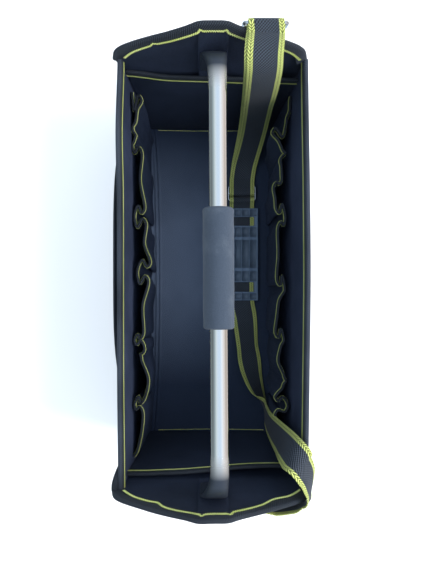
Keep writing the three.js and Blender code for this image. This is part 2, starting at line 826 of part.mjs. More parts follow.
// The tab holds the ring's other bar and is sewn flat to the outside of the end panel
function addTab(name, end, ring) {
  const bar = ring.bar.clone().addScaledVector(ring.away, -ringBarSpacing);
  const back = ring.away.clone().negate();
  const shares = [0.2, 0.45, 0.7, 1];
  const sewn = (share, layer) => {
    const place = bar.clone().addScaledVector(back, share * tabLength);
    const highest = place.z + Math.abs(ring.across.z) * strapWidth / 2;
    const outside = endInner(highest) + panelThickness + bindingThickness + 4 * clearance;
    const face = outside + strapThickness / 2 + layer * layerStep;
    const hung = signs[end] * bar.y + (2 * layer - 1) * wrapRadius;
    place.y = signs[end] * THREE.MathUtils.lerp(hung, face, smoothStep(0.1, 0.7, share));
    return { place, wide: ring.across };
  };
  const stations = [
    ...shares.toReversed().map((share) => sewn(share, 0)),
    ...wrapStations(bar, ring.away, ring.out.clone().negate(), ring.across, wrapRadius),
    ...shares.map((share) => sewn(share, 1)),
  ];
  addPiece(name, ribbon(stations, strapWidth, strapThickness), strapCloth);
}

function routePoint(row, end) {
  const y = signs[end] * (row.along * halfLength + row.lean * endLean);
  return new THREE.Vector3(row.across * halfWidth, y, floorTop + row.up * peakHeight);
}

// Extra stations between hand-placed ones, on a smooth curve
function refined(stations, steps) {
  const places = new THREE.CatmullRomCurve3(stations.map((station) => station.place), false, 'centripetal');
  const wides = new THREE.CatmullRomCurve3(stations.map((station) => station.wide), false, 'catmullrom');
  const found = [];
  const spans = (stations.length - 1) * steps;
  for (let i = 0; i <= spans; i++) {
    found.push({ place: places.getPoint(i / spans), wide: wides.getPoint(i / spans).normalize() });
  }
  return found;
}

// One layer of the doubled strap, side -1 below and 1 above: the route moved off its own plane, and a
// little sideways, so that each layer shows past the other
function layer(stations, side) {
  return stations.map((station, i) => {
    const before = stations[Math.max(0, i - 1)].place;
    const after = stations[Math.min(stations.length - 1, i + 1)].place;
    const tangent = after.clone().sub(before).normalize();
    const normal = station.wide.clone().cross(tangent).normalize();
    const apart = smoothStep(0, 0.3, i / (stations.length - 1));
    const place = station.place.clone().addScaledVector(normal, side * layerStep / 2)
      .addScaledVector(station.wide, side * apart * layerShift / 2);
    return { place, wide: station.wide };
  });
}

const loopRadius = Math.hypot(sliderBar, sliderThickness) / 2 + clearance + strapThickness / 2;
const strapOnFloor = floorTop + clearance + strapThickness / 2;
const sliderMiddle = strapOnFloor + strapThickness + clearance + loopRadius;
const overSlider = sliderMiddle + sliderThickness / 2 + clearance + strapThickness / 2;
const strapX = halfWidth * 0.5;

function strapStations() {
  const wide = new THREE.Vector3(1, 0, 0);
  const at = (y, z, x = strapX) => ({ place: new THREE.Vector3(x, y, z), wide });

  const near = nearRing();
  const inner = near.out.clone().negate();
  const nearWrap = wrapStations(near.bar, near.away.clone().negate(), inner, near.across, wrapRadius);
  const tail = [22, 12].map((distance) => ({
    place: near.bar.clone().addScaledVector(near.away, distance).addScaledVector(inner, wrapRadius),
    wide: near.across,
  }));
  const single = singleRoute.map((row) => ({
    place: routePoint(row, 'near'),
    wide: new THREE.Vector3(row.wideX, row.wideY, row.wideZ).normalize(),
  }));
  const tunnel = floorTop + clearance + padThickness / 2;
  const pad = [at(padEnd - padLength, tunnel, padPlace), at(padEnd, tunnel, padPlace)];
  // Over the slider's near bar, down through the slot and under its middle bar
  const nearBar = sliderPlace - sliderLength / 2 + sliderBar / 2;
  const slotEnd = nearBar + sliderBar / 2;
  const slotLength = (sliderLength - 3 * sliderBar) / 2;
  const drop = overSlider - strapOnFloor;
  const slider = [
    at(nearBar - sliderBar * 2, tunnel + 1),
    at(nearBar - sliderBar, overSlider - drop * 0.06),
    at(nearBar, overSlider),
    ...sliderDip.map(({ past, height }) => at(slotEnd + past * slotLength, strapOnFloor + drop * height)),
    at(sliderPlace + sliderLength / 2, strapOnFloor),
  ];

  const far = farRing();
  const doubled = refined(doubledRoute.map((row) => ({ place: routePoint(row, 'far'), wide })), 3);
  const below = layer(doubled, -1);
  const above = layer(doubled, 1).reverse();
  const farWrap = wrapStations(far.bar, far.out, far.away.clone().negate(), wide, wrapRadius);

  const barPlace = new THREE.Vector3(strapX, sliderPlace, sliderMiddle);
  const [towards, up] = [new THREE.Vector3(0, -1, 0), new THREE.Vector3(0, 0, 1)];
  const barWrap = wrapStations(barPlace, towards, up, wide, loopRadius);
  const tailOnSlider = at(sliderPlace + sliderLength / 2 + 6, sliderMiddle - loopRadius);
  const ontoSlider = at(sliderPlace + sliderLength / 2 + 1.5, overSlider);

  return [
    ...tail,
    ...nearWrap,
    ...refined([...single, ...pad], 2),
    ...slider,
    ...below,
    ...farWrap,
    ...above,
    ontoSlider,
    ...barWrap,
    tailOnSlider,
  ];
}

function addStrap() {
  addRing('strap_ring_far', farRing());
  addRing('strap_ring_near', nearRing());
  addTab('strap_tab_far', 'far', farRing());
  addTab('strap_tab_near', 'near', nearRing());
  addPiece('shoulder_strap', ribbon(strapStations(), strapWidth, strapThickness), strapCloth);
}

function addSlider() {
  const slotWidth = strapWidth + 4 * clearance;
  const outline = panelOutline(slotWidth / 2 + sliderBar, sliderLength / 2, sliderBar);
  const slotLength = (sliderLength - 3 * sliderBar) / 2;
  const slots = [-1, 1].map((sign) => {
    const slot = new THREE.BoxGeometry(slotWidth, slotLength, sliderThickness * 3);
    slot.translate(0, sign * (sliderBar + slotLength) / 2, sliderThickness / 2);
    return slot;
  });
  const mesh = addPiece('strap_slider', cut(extruded(outline, sliderThickness, 3), slots), chrome);
  mesh.position.set(strapX, sliderPlace, sliderMiddle - sliderThickness / 2);
}

// The pad is a flat sleeve with a window near each end; the strap runs through it
function addPad() {
  const windowPlaces = [padWindowFromNear - padLength / 2, padLength / 2 - padWindowFromFar];
  const outline = panelOutline(padWidth / 2, padLength / 2, 4);
  const body = extruded(outline, padThickness, 3);
  const tunnel = new THREE.BoxGeometry(strapWidth + 3, padLength * 1.1, padTunnel);
  tunnel.translate(0, 0, padThickness / 2);
  const windows = windowPlaces.map((y) => {
    const box = new THREE.BoxGeometry(padWindowWidth, padWindowLength, padThickness);
    box.translate(0, y, padThickness);
    return box;
  });
  const mesh = addPiece('shoulder_pad', cut(body, [tunnel, ...windows]), mouldedPlastic);
  mesh.position.set(padPlace, padEnd - padLength / 2, floorTop + clearance);
}

// Pocket on the left outside, with its mouth standing off the wall

function addOuterPocket() {
  const columns = 10;
  const surface = (u, v) => {
    const y = THREE.MathUtils.lerp(outerPocketStart, outerPocketEnd, u);
    const z = THREE.MathUtils.lerp(outerPocketFoot, outerPocketHeight, v);
    const across = 2 * u - 1;
    const gape = outerPocketGape * v ** 1.3 * (1 - across ** 4);
    const out = sideInner('left', y, z) + panelThickness + clearance * 2 + pocketEdgeThickness;
    return new THREE.Vector3(-(out + pocketCloth / 2 + gape), y, z);
  };
  addPiece('outer_pocket', sheet(surface, columns, evenly(4), pocketCloth), twill);
  const edge = bindTop(surface, columns, pocketCloth, pocketEdgeThickness, pocketEdgeDepth);
  addPiece('outer_pocket_edge', edge, webbing);
}

addBottom();
addWalls();
addEndPockets();
addSidePockets();
addPatches();
addHandle();
addRivets();
addGrip();
addStrap();
addSlider();
addPad();
addOuterPocket();

export default bag;
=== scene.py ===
"""Trapping bag, dressed for a render seen from straight above.

Lengths are millimetres in the same frame as the solids, and become metres where a mesh is made.
X runs across the bag, Y along it and Z up. Far is +Y, near is -Y, left is -X.
"""

import math

import bmesh
import bpy
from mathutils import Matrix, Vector, noise


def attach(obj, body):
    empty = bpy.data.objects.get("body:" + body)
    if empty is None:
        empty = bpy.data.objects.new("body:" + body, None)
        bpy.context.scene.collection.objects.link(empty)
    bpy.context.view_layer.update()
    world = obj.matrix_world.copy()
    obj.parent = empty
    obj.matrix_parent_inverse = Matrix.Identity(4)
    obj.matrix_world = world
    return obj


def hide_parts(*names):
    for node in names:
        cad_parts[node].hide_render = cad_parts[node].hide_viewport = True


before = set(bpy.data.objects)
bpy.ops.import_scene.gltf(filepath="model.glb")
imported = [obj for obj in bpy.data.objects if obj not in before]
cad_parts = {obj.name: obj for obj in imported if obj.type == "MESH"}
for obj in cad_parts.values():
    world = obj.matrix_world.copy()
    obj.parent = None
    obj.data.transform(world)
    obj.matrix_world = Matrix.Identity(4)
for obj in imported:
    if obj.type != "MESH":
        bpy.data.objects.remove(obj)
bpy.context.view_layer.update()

MM = 0.001


def table(columns, *rows):
    """Rows of values with named columns."""
    return [dict(zip(columns.split(), row)) for row in rows]


# Driving sizes, as in the solids
CLEARANCE = 0.3
FLOOR_LENGTH = 480
FLOOR_WIDTH = 193
SIDE_HEIGHT = 231
PEAK_HEIGHT = 297
EAR_HEIGHT = 240
SIDE_FLARE = 10.5
END_LEAN = 19
PANEL = 3
FLOOR_TOP = 5.8
FLOOR_LIP = 5
WALL_FOOT = 3.3
POCKET_CLOTH = 1.6
BINDING = 1.2
BINDING_DEPTH = 11
POCKET_BINDING = 0.8
POCKET_BINDING_DEPTH = 8
END_POCKET_HEIGHT = SIDE_HEIGHT * 0.857
SIDE_POCKET_HEIGHT = 155
HALF_LENGTH = FLOOR_LENGTH / 2
HALF_WIDTH = FLOOR_WIDTH / 2

PATCH_WIDTH = 33
TUBE_DIAMETER = 19
TUBE_HEIGHT = 293
TUBE_LEAN = 5.2
TUBE_SKEW = 1.2
TUBE_BEND = TUBE_HEIGHT * 0.13
BLADE_WIDTH = 29.8
BLADE_THICKNESS = 3.2
BLADE_LENGTH = TUBE_HEIGHT * 0.113
BLADE_FOOT = TUBE_HEIGHT - TUBE_BEND - BLADE_LENGTH
PATCH_FOOT = END_POCKET_HEIGHT + 1
PATCH_STAND = {"far": 6.5, "near": 2.4}
RIVET_HEAD = 10
RIVET_SPACING = 13
RIVET_DOME = 1.6
RIVET_SHANK = 2.4
GRIP_LENGTH = 127
GRIP_DIAMETER = 33
GRIP_SHIFT = 3.8

STRAP_WIDTH = 38
STRAP_THICKNESS = 1.8
LIME_BAND = 6
RING_WIRE = 4
RING_OPENING = 42
RING_BAR_SPACING = 22
TAB_LENGTH = 28
LAYER_SHIFT = 3
FAR_RING_ACROSS = 0.574
FAR_RING_STAND = 4.4
FAR_RING_DROP = 7
FAR_RING_LEAN = 14
NEAR_RING_ACROSS = 0.6
NEAR_RING_STAND = 9
NEAR_RING_DROP = 6
NEAR_RING_TILT = 12
SLIDER_LENGTH = 24
SLIDER_BAR = 2.4
SLIDER_THICKNESS = 2.4
SLIDER_PLACE = 135
PAD_LENGTH = 143.6
PAD_WIDTH = 50
PAD_THICKNESS = 7
PAD_TUNNEL = 3
PAD_END = 111.6
PAD_PLACE = 48.2

OUTER_POCKET_START = -130
OUTER_POCKET_END = 155
OUTER_POCKET_FOOT = 45
OUTER_POCKET_HEIGHT = SIDE_HEIGHT * 0.866
OUTER_POCKET_GAPE = 8

SIGN = {"left": -1, "right": 1, "near": -1, "far": 1}

# How high a binding's fold stands for its half width, and how far its legs bulge, in mm
BINDING_ROUND = 0.85
BINDING_BULGE = 0.15

# The stitch that holds every binding; stand is how far it lies off the webbing
STITCH_PITCH = 2.5
STITCH_SWING = 1.35
THREAD = 1.5
THREAD_HALF = 0.42
NOTCH_RISE = 3.2
NOTCH_HALF = 4.5
RIM_STITCH_STAND = 0.55
POUCH_STITCH_STAND = 0.75
POCKET_STITCH_STAND = 0.5
POUCH_STITCH_SWING = 1.1
# The straight stitch of the floor's seams
SEAM_THREAD = 0.95
SEAM_STITCH = 2.8

# Soft wrinkles of each cloth, in mm
WRINKLES = {
    "end": {"deep": 1.3, "size": 38},
    "side": {"deep": 1.2, "size": 55},
    "end_pocket": {"deep": 0.8, "size": 33},
    "floor": {"deep": 0.55, "size": 70},
    "binding": {"deep": 0.35, "size": 17},
    "foam": {"deep": 0.3, "size": 14},
}

# Top of a side wall's cloth, and the heights between which an end panel's ears reach out past it
WALL_TOP = SIDE_HEIGHT - BINDING - CLEARANCE
EAR_FROM = WALL_TOP - 22
EAR_FULL = EAR_HEIGHT - 8

# Camera
PHOTO_WIDTH = 433
PHOTO_HEIGHT = 577
FOCAL_PIXELS = 550
CAMERA_PLACE = (-8.5, -25, 870)
NADIR_PIXEL = (205.5, 296)
SENSOR = 36

# How far an end panel leans out: up is a share of PEAK_HEIGHT, out a share of END_LEAN
END_PROFILE = table(
    "up out",
    (0.0, 0.0), (0.2, 0.24), (0.4, 0.42), (0.61, 0.5), (0.75, 0.55), (0.84, 0.63), (0.91, 0.76),
    (1.0, 1.0),
)

# How far a side wall leans out: up is a share of SIDE_HEIGHT, out a share of SIDE_FLARE
SIDE_PROFILE = table(
    "up out",
    (0.0, 0.0), (0.3, 0.36), (0.6, 0.66), (1.0, 1.0),
)

# Top edge of an end panel: across is a share of its half width, rise a share of ear to peak
END_RIM = table(
    "across rise",
    (0.0, 1.0), (0.14, 0.98), (0.24, 0.87), (0.42, 0.7), (0.63, 0.53), (0.84, 0.32), (0.92, 0.2),
    (0.97, 0.06), (1.0, -0.17),
)
EAR_REACH = {"far_left": 4.5, "far_right": -3, "near_left": 5.5, "near_right": 1}

# How far the near end's top edge bows outward, in mm, by share of its half width
END_BOW = table(
    "across out",
    (-1.0, 0), (-0.75, 0.8), (-0.45, 2.6), (-0.2, 1.2), (0.0, 0), (0.45, 1.2), (0.7, 0.3), (1.0, 0),
)

# Sway of each side wall's top edge: along is a share of the half length, out is in mm
SIDE_SWAY = {
    "left": table(
        "along out",
        (-1.0, -1.0), (-0.5, 0.3), (0.0, 0.5), (0.4, 0.8), (0.7, 2.2), (1.0, 0.0),
    ),
    "right": table(
        "along out",
        (-1.0, 0.0), (-0.5, 1.6), (0.0, 3.0), (0.4, 2.2), (0.7, 1.0), (1.0, 0.0),
    ),
}

# Pleats of the gathered pocket strips, from the far end to the near one. at is mm from the middle; back,
# before, after and mid are mm off the wall: at the seam, on each side of it and halfway to the next;
# tuck_in and tuck_out are mm of cloth folded under on the far and near side; gap is half the seam's width
PLEAT_COLUMNS = "at back tuck_in tuck_out before after mid gap"
PLEATS = {
    "left": table(
        PLEAT_COLUMNS,
        (234, 2.5, 0, 18, 3, 14.8, 9, 3.5),
        (194, 2.2, 0, 3, 7, 5.5, 6, 3.5),
        (172.5, 1, 0, 7, 4.7, 13.1, 10.6, 3.5),
        (79.5, 3.1, 10, 11, 16, 18, 15.6, 3.5),
        (7, 6.5, 9, 10, 23.5, 21, 13.5, 6),
        (-82, 3, 6, 6, 14, 15, 15.5, 1),
        (-101.5, 10, 0, 0, 16, 12, 20.7, 1.5),
        (-167, 2.7, 8, 4, 15.5, 13, 12, 2.5),
        (-234, 1.5, 0, 0, 6.5, 1.5, 1.5, 3.5),
    ),
    "right": table(
        PLEAT_COLUMNS,
        (234, 2, 0, 0, 2, 3, 3.5, 3.5),
        (197, 8, 0, 11, 7, 25.8, 18.6, 3.5),
        (161, 9, 0, 0, 14, 15.5, 14.3, 3.5),
        (127, 13.7, 0, 2, 14, 24.3, 22.4, 3.5),
        (77.5, 9.5, 12, 5, 21, 18.6, 18.6, 5.5),
        (-18, 10.5, 13, 0, 20, 17.5, 20, 7),
        (-83.5, 11, 11, 0, 22, 15.7, 18.1, 4.5),
        (-136, 8.2, 0, 0, 11, 13, 19, 3.5),
        (-168, 5.5, 5, 2, 22, 22, 14, 6),
        (-234, 2, 0, 0, 6, 2, 2, 3.5),
    ),
}
# How far a strip's top edge climbs towards its far end, in mm
STRIP_CLIMB = {"left": 17, "right": 3}

# How far each end pocket's edge stands off its panel: across is a share of its half width, out is in mm
END_POCKET_GAPE = {
    "far": table(
        "across out",
        (-1.0, 0.0), (-0.7, 2.2), (-0.47, 4.0), (-0.08, 5.0), (0.33, 6.5), (0.78, 7.2), (1.0, 8.0),
    ),
    "near": table(
        "across out",
        (-1.0, 4.3), (-0.69, 4.9), (-0.44, 6.2), (-0.05, 8.8), (0.17, 10.8), (0.45, 13.4), (0.8, 13.9),
        (1.0, 12.0),
    ),
}

# A flat handle end: turn is a share of the bend, flat a share of fully flat
HANDLE_END = table(
    "turn flat",
    (0.0, 1.0), (0.2, 0.93), (0.4, 0.7), (0.6, 0.4), (0.8, 0.16), (1.0, 0.05),
)

# Route of the doubled strap from the slider to the far ring, in shares of half the floor's width, half
# its length, END_LEAN and PEAK_HEIGHT above the floor
DOUBLED_ROUTE = table(
    "across along lean up",
    (0.505, 0.655, 0, 0.0095),
    (0.53, 0.735, 0, 0.028),
    (0.575, 0.815, 0, 0.095),
    (0.61, 0.88, 0, 0.215),
    (0.615, 0.915, 0, 0.38),
    (0.6, 0.915, 0, 0.53),
    (0.583, 0.9, 0, 0.68),
    (0.562, 0.885, 0.1, 0.84),
    (0.552, 0.895, 0.2, 0.935),
    (0.545, 0.92, 0.4, 0.972),
    (0.556, 0.952, 0.7, 0.975),
    (0.57, 0.984, 0.85, 0.956),
)

# Route of the single strap from the near ring to the pad, in the same shares. wide is the direction
# across the webbing
SINGLE_ROUTE = table(
    "across along lean up wide",
    (0.74, 1.008, 1.45, 0.778, (-0.05, -0.02, 0.99)),
    (0.87, 0.994, 1.45, 0.787, (-0.04, -0.1, 0.99)),
    (1.01, 0.984, 1.45, 0.8, (-0.1, -0.02, 0.98)),
    (1.104, 0.982, 1.3, 0.809, (-0.24, 0.22, 0.94)),
    (1.132, 0.965, 1.0, 0.815, (-0.25, 0.18, 0.95)),
    (1.13, 0.96, 0.5, 0.82, (-0.42, 0.02, 0.9)),
    (1.103, 0.928, 0.25, 0.83, (-0.56, -0.3, 0.77)),
    (1.02, 0.891, 0, 0.839, (-0.63, -0.49, 0.6)),
    (0.933, 0.852, 0, 0.799, (-0.6, -0.75, 0)),
    (0.86, 0.835, 0, 0.63, (-0.28, -0.85, -0.42)),
    (0.815, 0.833, 0, 0.43, (-0.05, -0.95, -0.3)),
    (0.812, 0.825, 0, 0.26, (0, -0.85, -0.5)),
    (0.812, 0.795, 0, 0.135, (0.1, -0.35, -0.93)),
    (0.745, 0.725, 0, 0.078, (0.5, 0.05, -0.86)),
    (0.66, 0.61, 0, 0.05, (0.8, 0.1, -0.58)),
    (0.62, 0.52, 0, 0.037, (0.93, 0.05, -0.36)),
    (0.585, 0.42, 0, 0.037, (0.88, 0, -0.46)),
    (0.545, 0.24, 0, 0.015, (0.99, 0, -0.12)),
)

# Where the strap dips through the slider's slot: past is a share of the slot, height of the dip
SLIDER_DIP = table(
    "past height",
    (0.19, 0.96), (0.38, 0.42), (0.63, 0.08), (1.0, 0.0),
)

# The pad's moulded top, from its far end: each band runs until so many mm and is a bar, a window or cells
PAD_BANDS = table(
    "until kind",
    (1.6, "bar"), (12.2, "cells"), (13.2, "bar"), (27.1, "window"), (29.3, "bar"), (44.4, "cells"),
    (49.3, "bar"), (92.9, "cells"), (97.9, "bar"), (113.2, "cells"), (115.0, "bar"), (130.0, "window"),
    (132.4, "bar"), (142.0, "cells"), (143.6, "bar"),
)
PAD_CELL_PITCH = 11.7
PAD_BORDER = 0.9
PAD_CELL_DEPTH = 0.5
PAD_WINDOW_WIDTH = 39
PAD_SIDE = 3


# Small maths

def lerp(a, b, t):
    return a + (b - a) * t


def smooth(start, end, at):
    t = min(1, max(0, (at - start) / (end - start)))
    return t * t * (3 - 2 * t)


def curve_through(rows, start, end):
    """The smooth curve through the rows that the solids use, as a function."""
    xs = [row[start] for row in rows]
    ys = [row[end] for row in rows]

    def value(at):
        i = 1
        while i < len(xs) - 1 and at >= xs[i]:
            i += 1
        t0, t1, y0, y1 = xs[i - 1], xs[i], ys[i - 1], ys[i]
        before, t_before = (ys[i - 2], xs[i - 2]) if i > 1 else (ys[i], xs[i])
        after, t_after = (ys[i + 1], xs[i + 1]) if i + 1 < len(xs) else (ys[i - 1], xs[i - 1])
        half = (t1 - t0) / 2
        wp, wn = half / (t0 - t_before), half / (t_after - t1)
        p = min(1, max(0, (at - t0) / (t1 - t0)))
        p2, p3 = p * p, p * p * p
        return (
            (-wp * p3 + 2 * wp * p2 - wp * p) * before
            + ((1 + wp) * p3 + (-1.5 - 2 * wp) * p2 + (-0.5 + wp) * p + 1) * y0
            + ((-1 - wn) * p3 + (1.5 + wn) * p2 + 0.5 * p) * y1
            + (wn * p3 - wn * p2) * after
        )

    return value


def catmull(points, steps, power=0.5):
    """Points on a Catmull-Rom curve: power 0.5 is centripetal and 0 uniform."""
    ends = [points[0] * 2 - points[1], *points, points[-1] * 2 - points[-2]]
    found = []
    for i in range(len(points) - 1):
        p0, p1, p2, p3 = ends[i:i + 4]
        d0, d1, d2 = (max(1e-6, (b - a).length ** power) for a, b in ((p0, p1), (p1, p2), (p2, p3)))
        m1 = ((p1 - p0) / d0 - (p2 - p0) / (d0 + d1) + (p2 - p1) / d1) * d1
        m2 = ((p2 - p1) / d1 - (p3 - p1) / (d1 + d2) + (p3 - p2) / d2) * d1
        for k in range(steps):
            t = k / steps
            found.append(
                p1 * (2 * t**3 - 3 * t**2 + 1) + m1 * (t**3 - 2 * t**2 + t)
                + p2 * (3 * t**2 - 2 * t**3) + m2 * (t**3 - t**2)
            )
    found.append(points[-1].copy())
    return found


def spaced(points, step):
    """The same path with points about step apart."""
    lengths = [0]
    for a, b in zip(points, points[1:]):
        lengths.append(lengths[-1] + (b - a).length)
    count = max(1, round(lengths[-1] / step))
    found = []
    i = 0
    for k in range(count + 1):
        at = lengths[-1] * k / count
        while i < len(points) - 2 and lengths[i + 1] < at:
            i += 1
        span = lengths[i + 1] - lengths[i] or 1
        found.append(points[i].lerp(points[i + 1], (at - lengths[i]) / span))
    return found


def turns(count, start=0.0):
    """Angles evenly round a circle, from a share of one step."""
    return [(k + start) / count * 2 * math.pi for k in range(count)]


def ripple(place, size, seed):
    """Soft noise from -1 to 1."""
    return noise.noise(Vector((place.x, place.y, place.z)) / size + Vector((seed * 7.1, seed * 3.3, seed)))


# Surfaces of the bag

end_out = curve_through(END_PROFILE, "up", "out")
side_out = curve_through(SIDE_PROFILE, "up", "out")
rim_rise = curve_through(END_RIM, "across", "rise")
side_sway = {side: curve_through(rows, "along", "out") for side, rows in SIDE_SWAY.items()}
tube_flat = curve_through(HANDLE_END, "turn", "flat")
end_bow = curve_through(END_BOW, "across", "out")
end_pocket_gape = {end: curve_through(rows, "across", "out") for end, rows in END_POCKET_GAPE.items()}


def end_inner(z):
    return HALF_LENGTH + END_LEAN * end_out(z / PEAK_HEIGHT)


def side_inner(side, y, z):
    sway = side_sway[side](y / HALF_LENGTH) * (z / SIDE_HEIGHT) ** 2
    return HALF_WIDTH + SIDE_FLARE * side_out(z / SIDE_HEIGHT) + sway


def end_top(across):
    top = EAR_HEIGHT + (PEAK_HEIGHT - EAR_HEIGHT) * rim_rise(min(1, abs(across)))
    return top - BINDING - CLEARANCE


def end_reach(end, across, z):
    ear = EAR_REACH[end + ("_left" if across < 0 else "_right")]
    wall = HALF_WIDTH + SIDE_FLARE * side_out(min(1, z / SIDE_HEIGHT)) + PANEL
    return wall + CLEARANCE + ear * smooth(EAR_FROM, EAR_FULL, z)


def end_surface(end):
    wrinkle = WRINKLES["end"]

    def point(u, v):
        across = 2 * u - 1
        z = WALL_FOOT + (end_top(across) - WALL_FOOT) * v
        x = across * end_reach(end, across, z)
        y = end_inner(z) + PANEL / 2
        spot = Vector((x, SIGN[end] * y, z))
        quiet = smooth(PATCH_WIDTH * 0.5, PATCH_WIDTH, abs(x)) * math.sin(math.pi * min(1, v)) ** 0.5
        spot.y += SIGN[end] * wrinkle["deep"] * quiet * ripple(spot, wrinkle["size"], 1 + SIGN[end])
        if end == "near":
            spot.y -= end_bow(across) * smooth(0.7, 1, v)
        return spot

    return point


def side_surface(side):
    wrinkle = WRINKLES["side"]

    def point(u, v):
        z = WALL_FOOT + (WALL_TOP - WALL_FOOT) * v
        y = (2 * u - 1) * (end_inner(z) - CLEARANCE)
        spot = Vector((SIGN[side] * (side_inner(side, y, z) + PANEL / 2), y, z))
        quiet = math.sin(math.pi * min(1, v)) * (1 - (2 * u - 1) ** 6)
        spot.x += SIGN[side] * wrinkle["deep"] * quiet * ripple(spot, wrinkle["size"], 4 + SIGN[side])
        return spot

    return point


# Mesh tools

def placed(name, data):
    thing = bpy.data.objects.new(name, data)
    bpy.context.scene.collection.objects.link(thing)
    return thing


def face_outwards(mesh, weld=0.0):
    """Turns every face outwards, after joining points nearer than weld in metres."""
    edited = bmesh.new()
    edited.from_mesh(mesh)
    if weld:
        bmesh.ops.remove_doubles(edited, verts=edited.verts, dist=weld)
    bmesh.ops.recalc_face_normals(edited, faces=edited.faces)
    edited.to_mesh(mesh)
    edited.free()


class Body:
    """Points, faces and cloth coordinates gathered for one piece."""

    def __init__(self):
        self.points, self.faces, self.uvs = [], [], []

    def loft(self, rings, around, along, closed=False, caps=True):
        """Skin rings of points; around gives each ring place's v, along each ring's u."""
        start = len(self.points)
        count = len(rings[0])
        for ring, u in zip(rings, along):
            self.points.extend(ring)
            self.uvs.extend((u, v) for v in around)
        spans = len(rings) if closed else len(rings) - 1
        for r in range(spans):
            here, there = start + r * count, start + ((r + 1) % len(rings)) * count
            for k in range(count):
                after = (k + 1) % count
                self.faces.append((here + k, there + k, there + after, here + after))
        if caps and not closed:
            last = start + (len(rings) - 1) * count
            for k in range(count // 2 - 1):
                corners = (k, k + 1, count - 2 - k, count - 1 - k)
                self.faces.append(tuple(start + c for c in corners))
                self.faces.append(tuple(last + c for c in reversed(corners)))

    def make(self, name, paint, stands_for=(), sharp=50):
        """The gathered mesh as a piece on the root, in place of the nodes that it stands for."""
        mesh = bpy.data.meshes.new(name)
        mesh.from_pydata([tuple(p * MM) for p in self.points], [], self.faces)
        layer = mesh.uv_layers.new(name="cloth")
        for loop in mesh.loops:
            layer.data[loop.index].uv = self.uvs[loop.vertex_index]
        face_outwards(mesh)
        mesh.polygons.foreach_set("use_smooth", [True] * len(mesh.polygons))
        mesh.set_sharp_from_angle(angle=math.radians(sharp))
        piece = placed(name, mesh)
        mesh.materials.append(PAINT[paint])
        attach(piece, "root")
        if stands_for:
            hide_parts(*stands_for)
        return piece


def lengths_along(points):
    found = [0]
    for a, b in zip(points, points[1:]):
        found.append(found[-1] + (b - a).length)
    return found


def slopes(point, u, v):
    step = 2e-3
    u0, u1, v0, v1 = max(0, u - step), min(1, u + step), max(0, v - step), min(1, v + step)
    along_u = (point(u1, v) - point(u0, v)).normalized()
    along_v = (point(u, v1) - point(u, v0)).normalized()
    return along_u, along_v, along_u.cross(along_v).normalized()


def sheet(name, node, point, columns, rows, thickness, paint):
    """Cloth of even thickness about the surface point(u, v), as one piece."""
    rings = []
    middles = [point(i / columns, 0.5) for i in range(columns + 1)]
    for i in range(columns + 1):
        front, back = [], []
        for j in range(rows + 1):
            u, v = i / columns, j / rows
            offset = slopes(point, u, v)[2] * thickness / 2
            front.append(point(u, v) + offset)
            back.insert(0, point(u, v) - offset)
        rings.append(front + back)
    heights = lengths_along([point(0.5, j / rows) for j in range(rows + 1)])
    body = Body()
    body.loft(rings, heights + heights[::-1], lengths_along(middles))
    body.make(name, paint, [node])


def edge_stations(point, columns):
    """Places along a surface's top edge, with the sideways and downward directions there."""
    found = []
    for i in range(columns + 1):
        along_u, along_v, normal = slopes(point, i / columns, 1)
        down = along_u.cross(normal).normalized()
        if down.dot(along_v) > 0:
            down.negate()
        found.append({"place": point(i / columns, 1), "side": normal, "down": down, "along": along_u})
    return found


def path_stations(points, down):
    """The same for a free path whose binding hangs along down."""
    found = []
    for i, place in enumerate(points):
        along = (points[min(i + 1, len(points) - 1)] - points[max(i - 1, 0)]).normalized()
        side = down.cross(along).normalized()
        found.append({"place": place, "side": side, "down": down, "along": along})
    return found


def binding_profile(half, wall, deep):
    """Section of folded webbing as (aside, below) pairs: up the left leg, over and down the right."""
    outer = half + wall
    steps = 6
    over = [
        (-outer * math.cos(math.pi * k / steps), -outer * BINDING_ROUND * math.sin(math.pi * k / steps))
        for k in range(steps + 1)
    ]
    bulged = outer + BINDING_BULGE
    left = [(-outer, deep), (-bulged, deep * 0.55)]
    right = [(bulged, deep * 0.55), (outer, deep)]
    inside = [(half, deep), (half, 0), (-half, 0), (-half, deep)]
    return left + over + right + inside


def bind(body, stations, thickness, wall, deep):
    half = thickness / 2 + CLEARANCE / 2
    profile = binding_profile(half, wall, deep)
    wrinkle = WRINKLES["binding"]
    rings = []
    for station in stations:
        wander = wrinkle["deep"] * ripple(station["place"], wrinkle["size"], 9)
        ring = []
        for aside, below in profile:
            hang = below + (wander if below > 2 else 0)
            ring.append(station["place"] + station["side"] * aside + station["down"] * hang)
        rings.append(ring)
    around = lengths_along([Vector((a, b, 0)) for a, b in profile])
    body.loft(rings, around, lengths_along([s["place"] for s in stations]))


def station_at(stations, lengths, at):
    i = 0
    while i < len(lengths) - 2 and lengths[i + 1] < at:
        i += 1
    t = (at - lengths[i]) / ((lengths[i + 1] - lengths[i]) or 1)
    a, b = stations[i], stations[i + 1]
    return {key: a[key].lerp(b[key], t) for key in ("place", "side", "down", "along")}


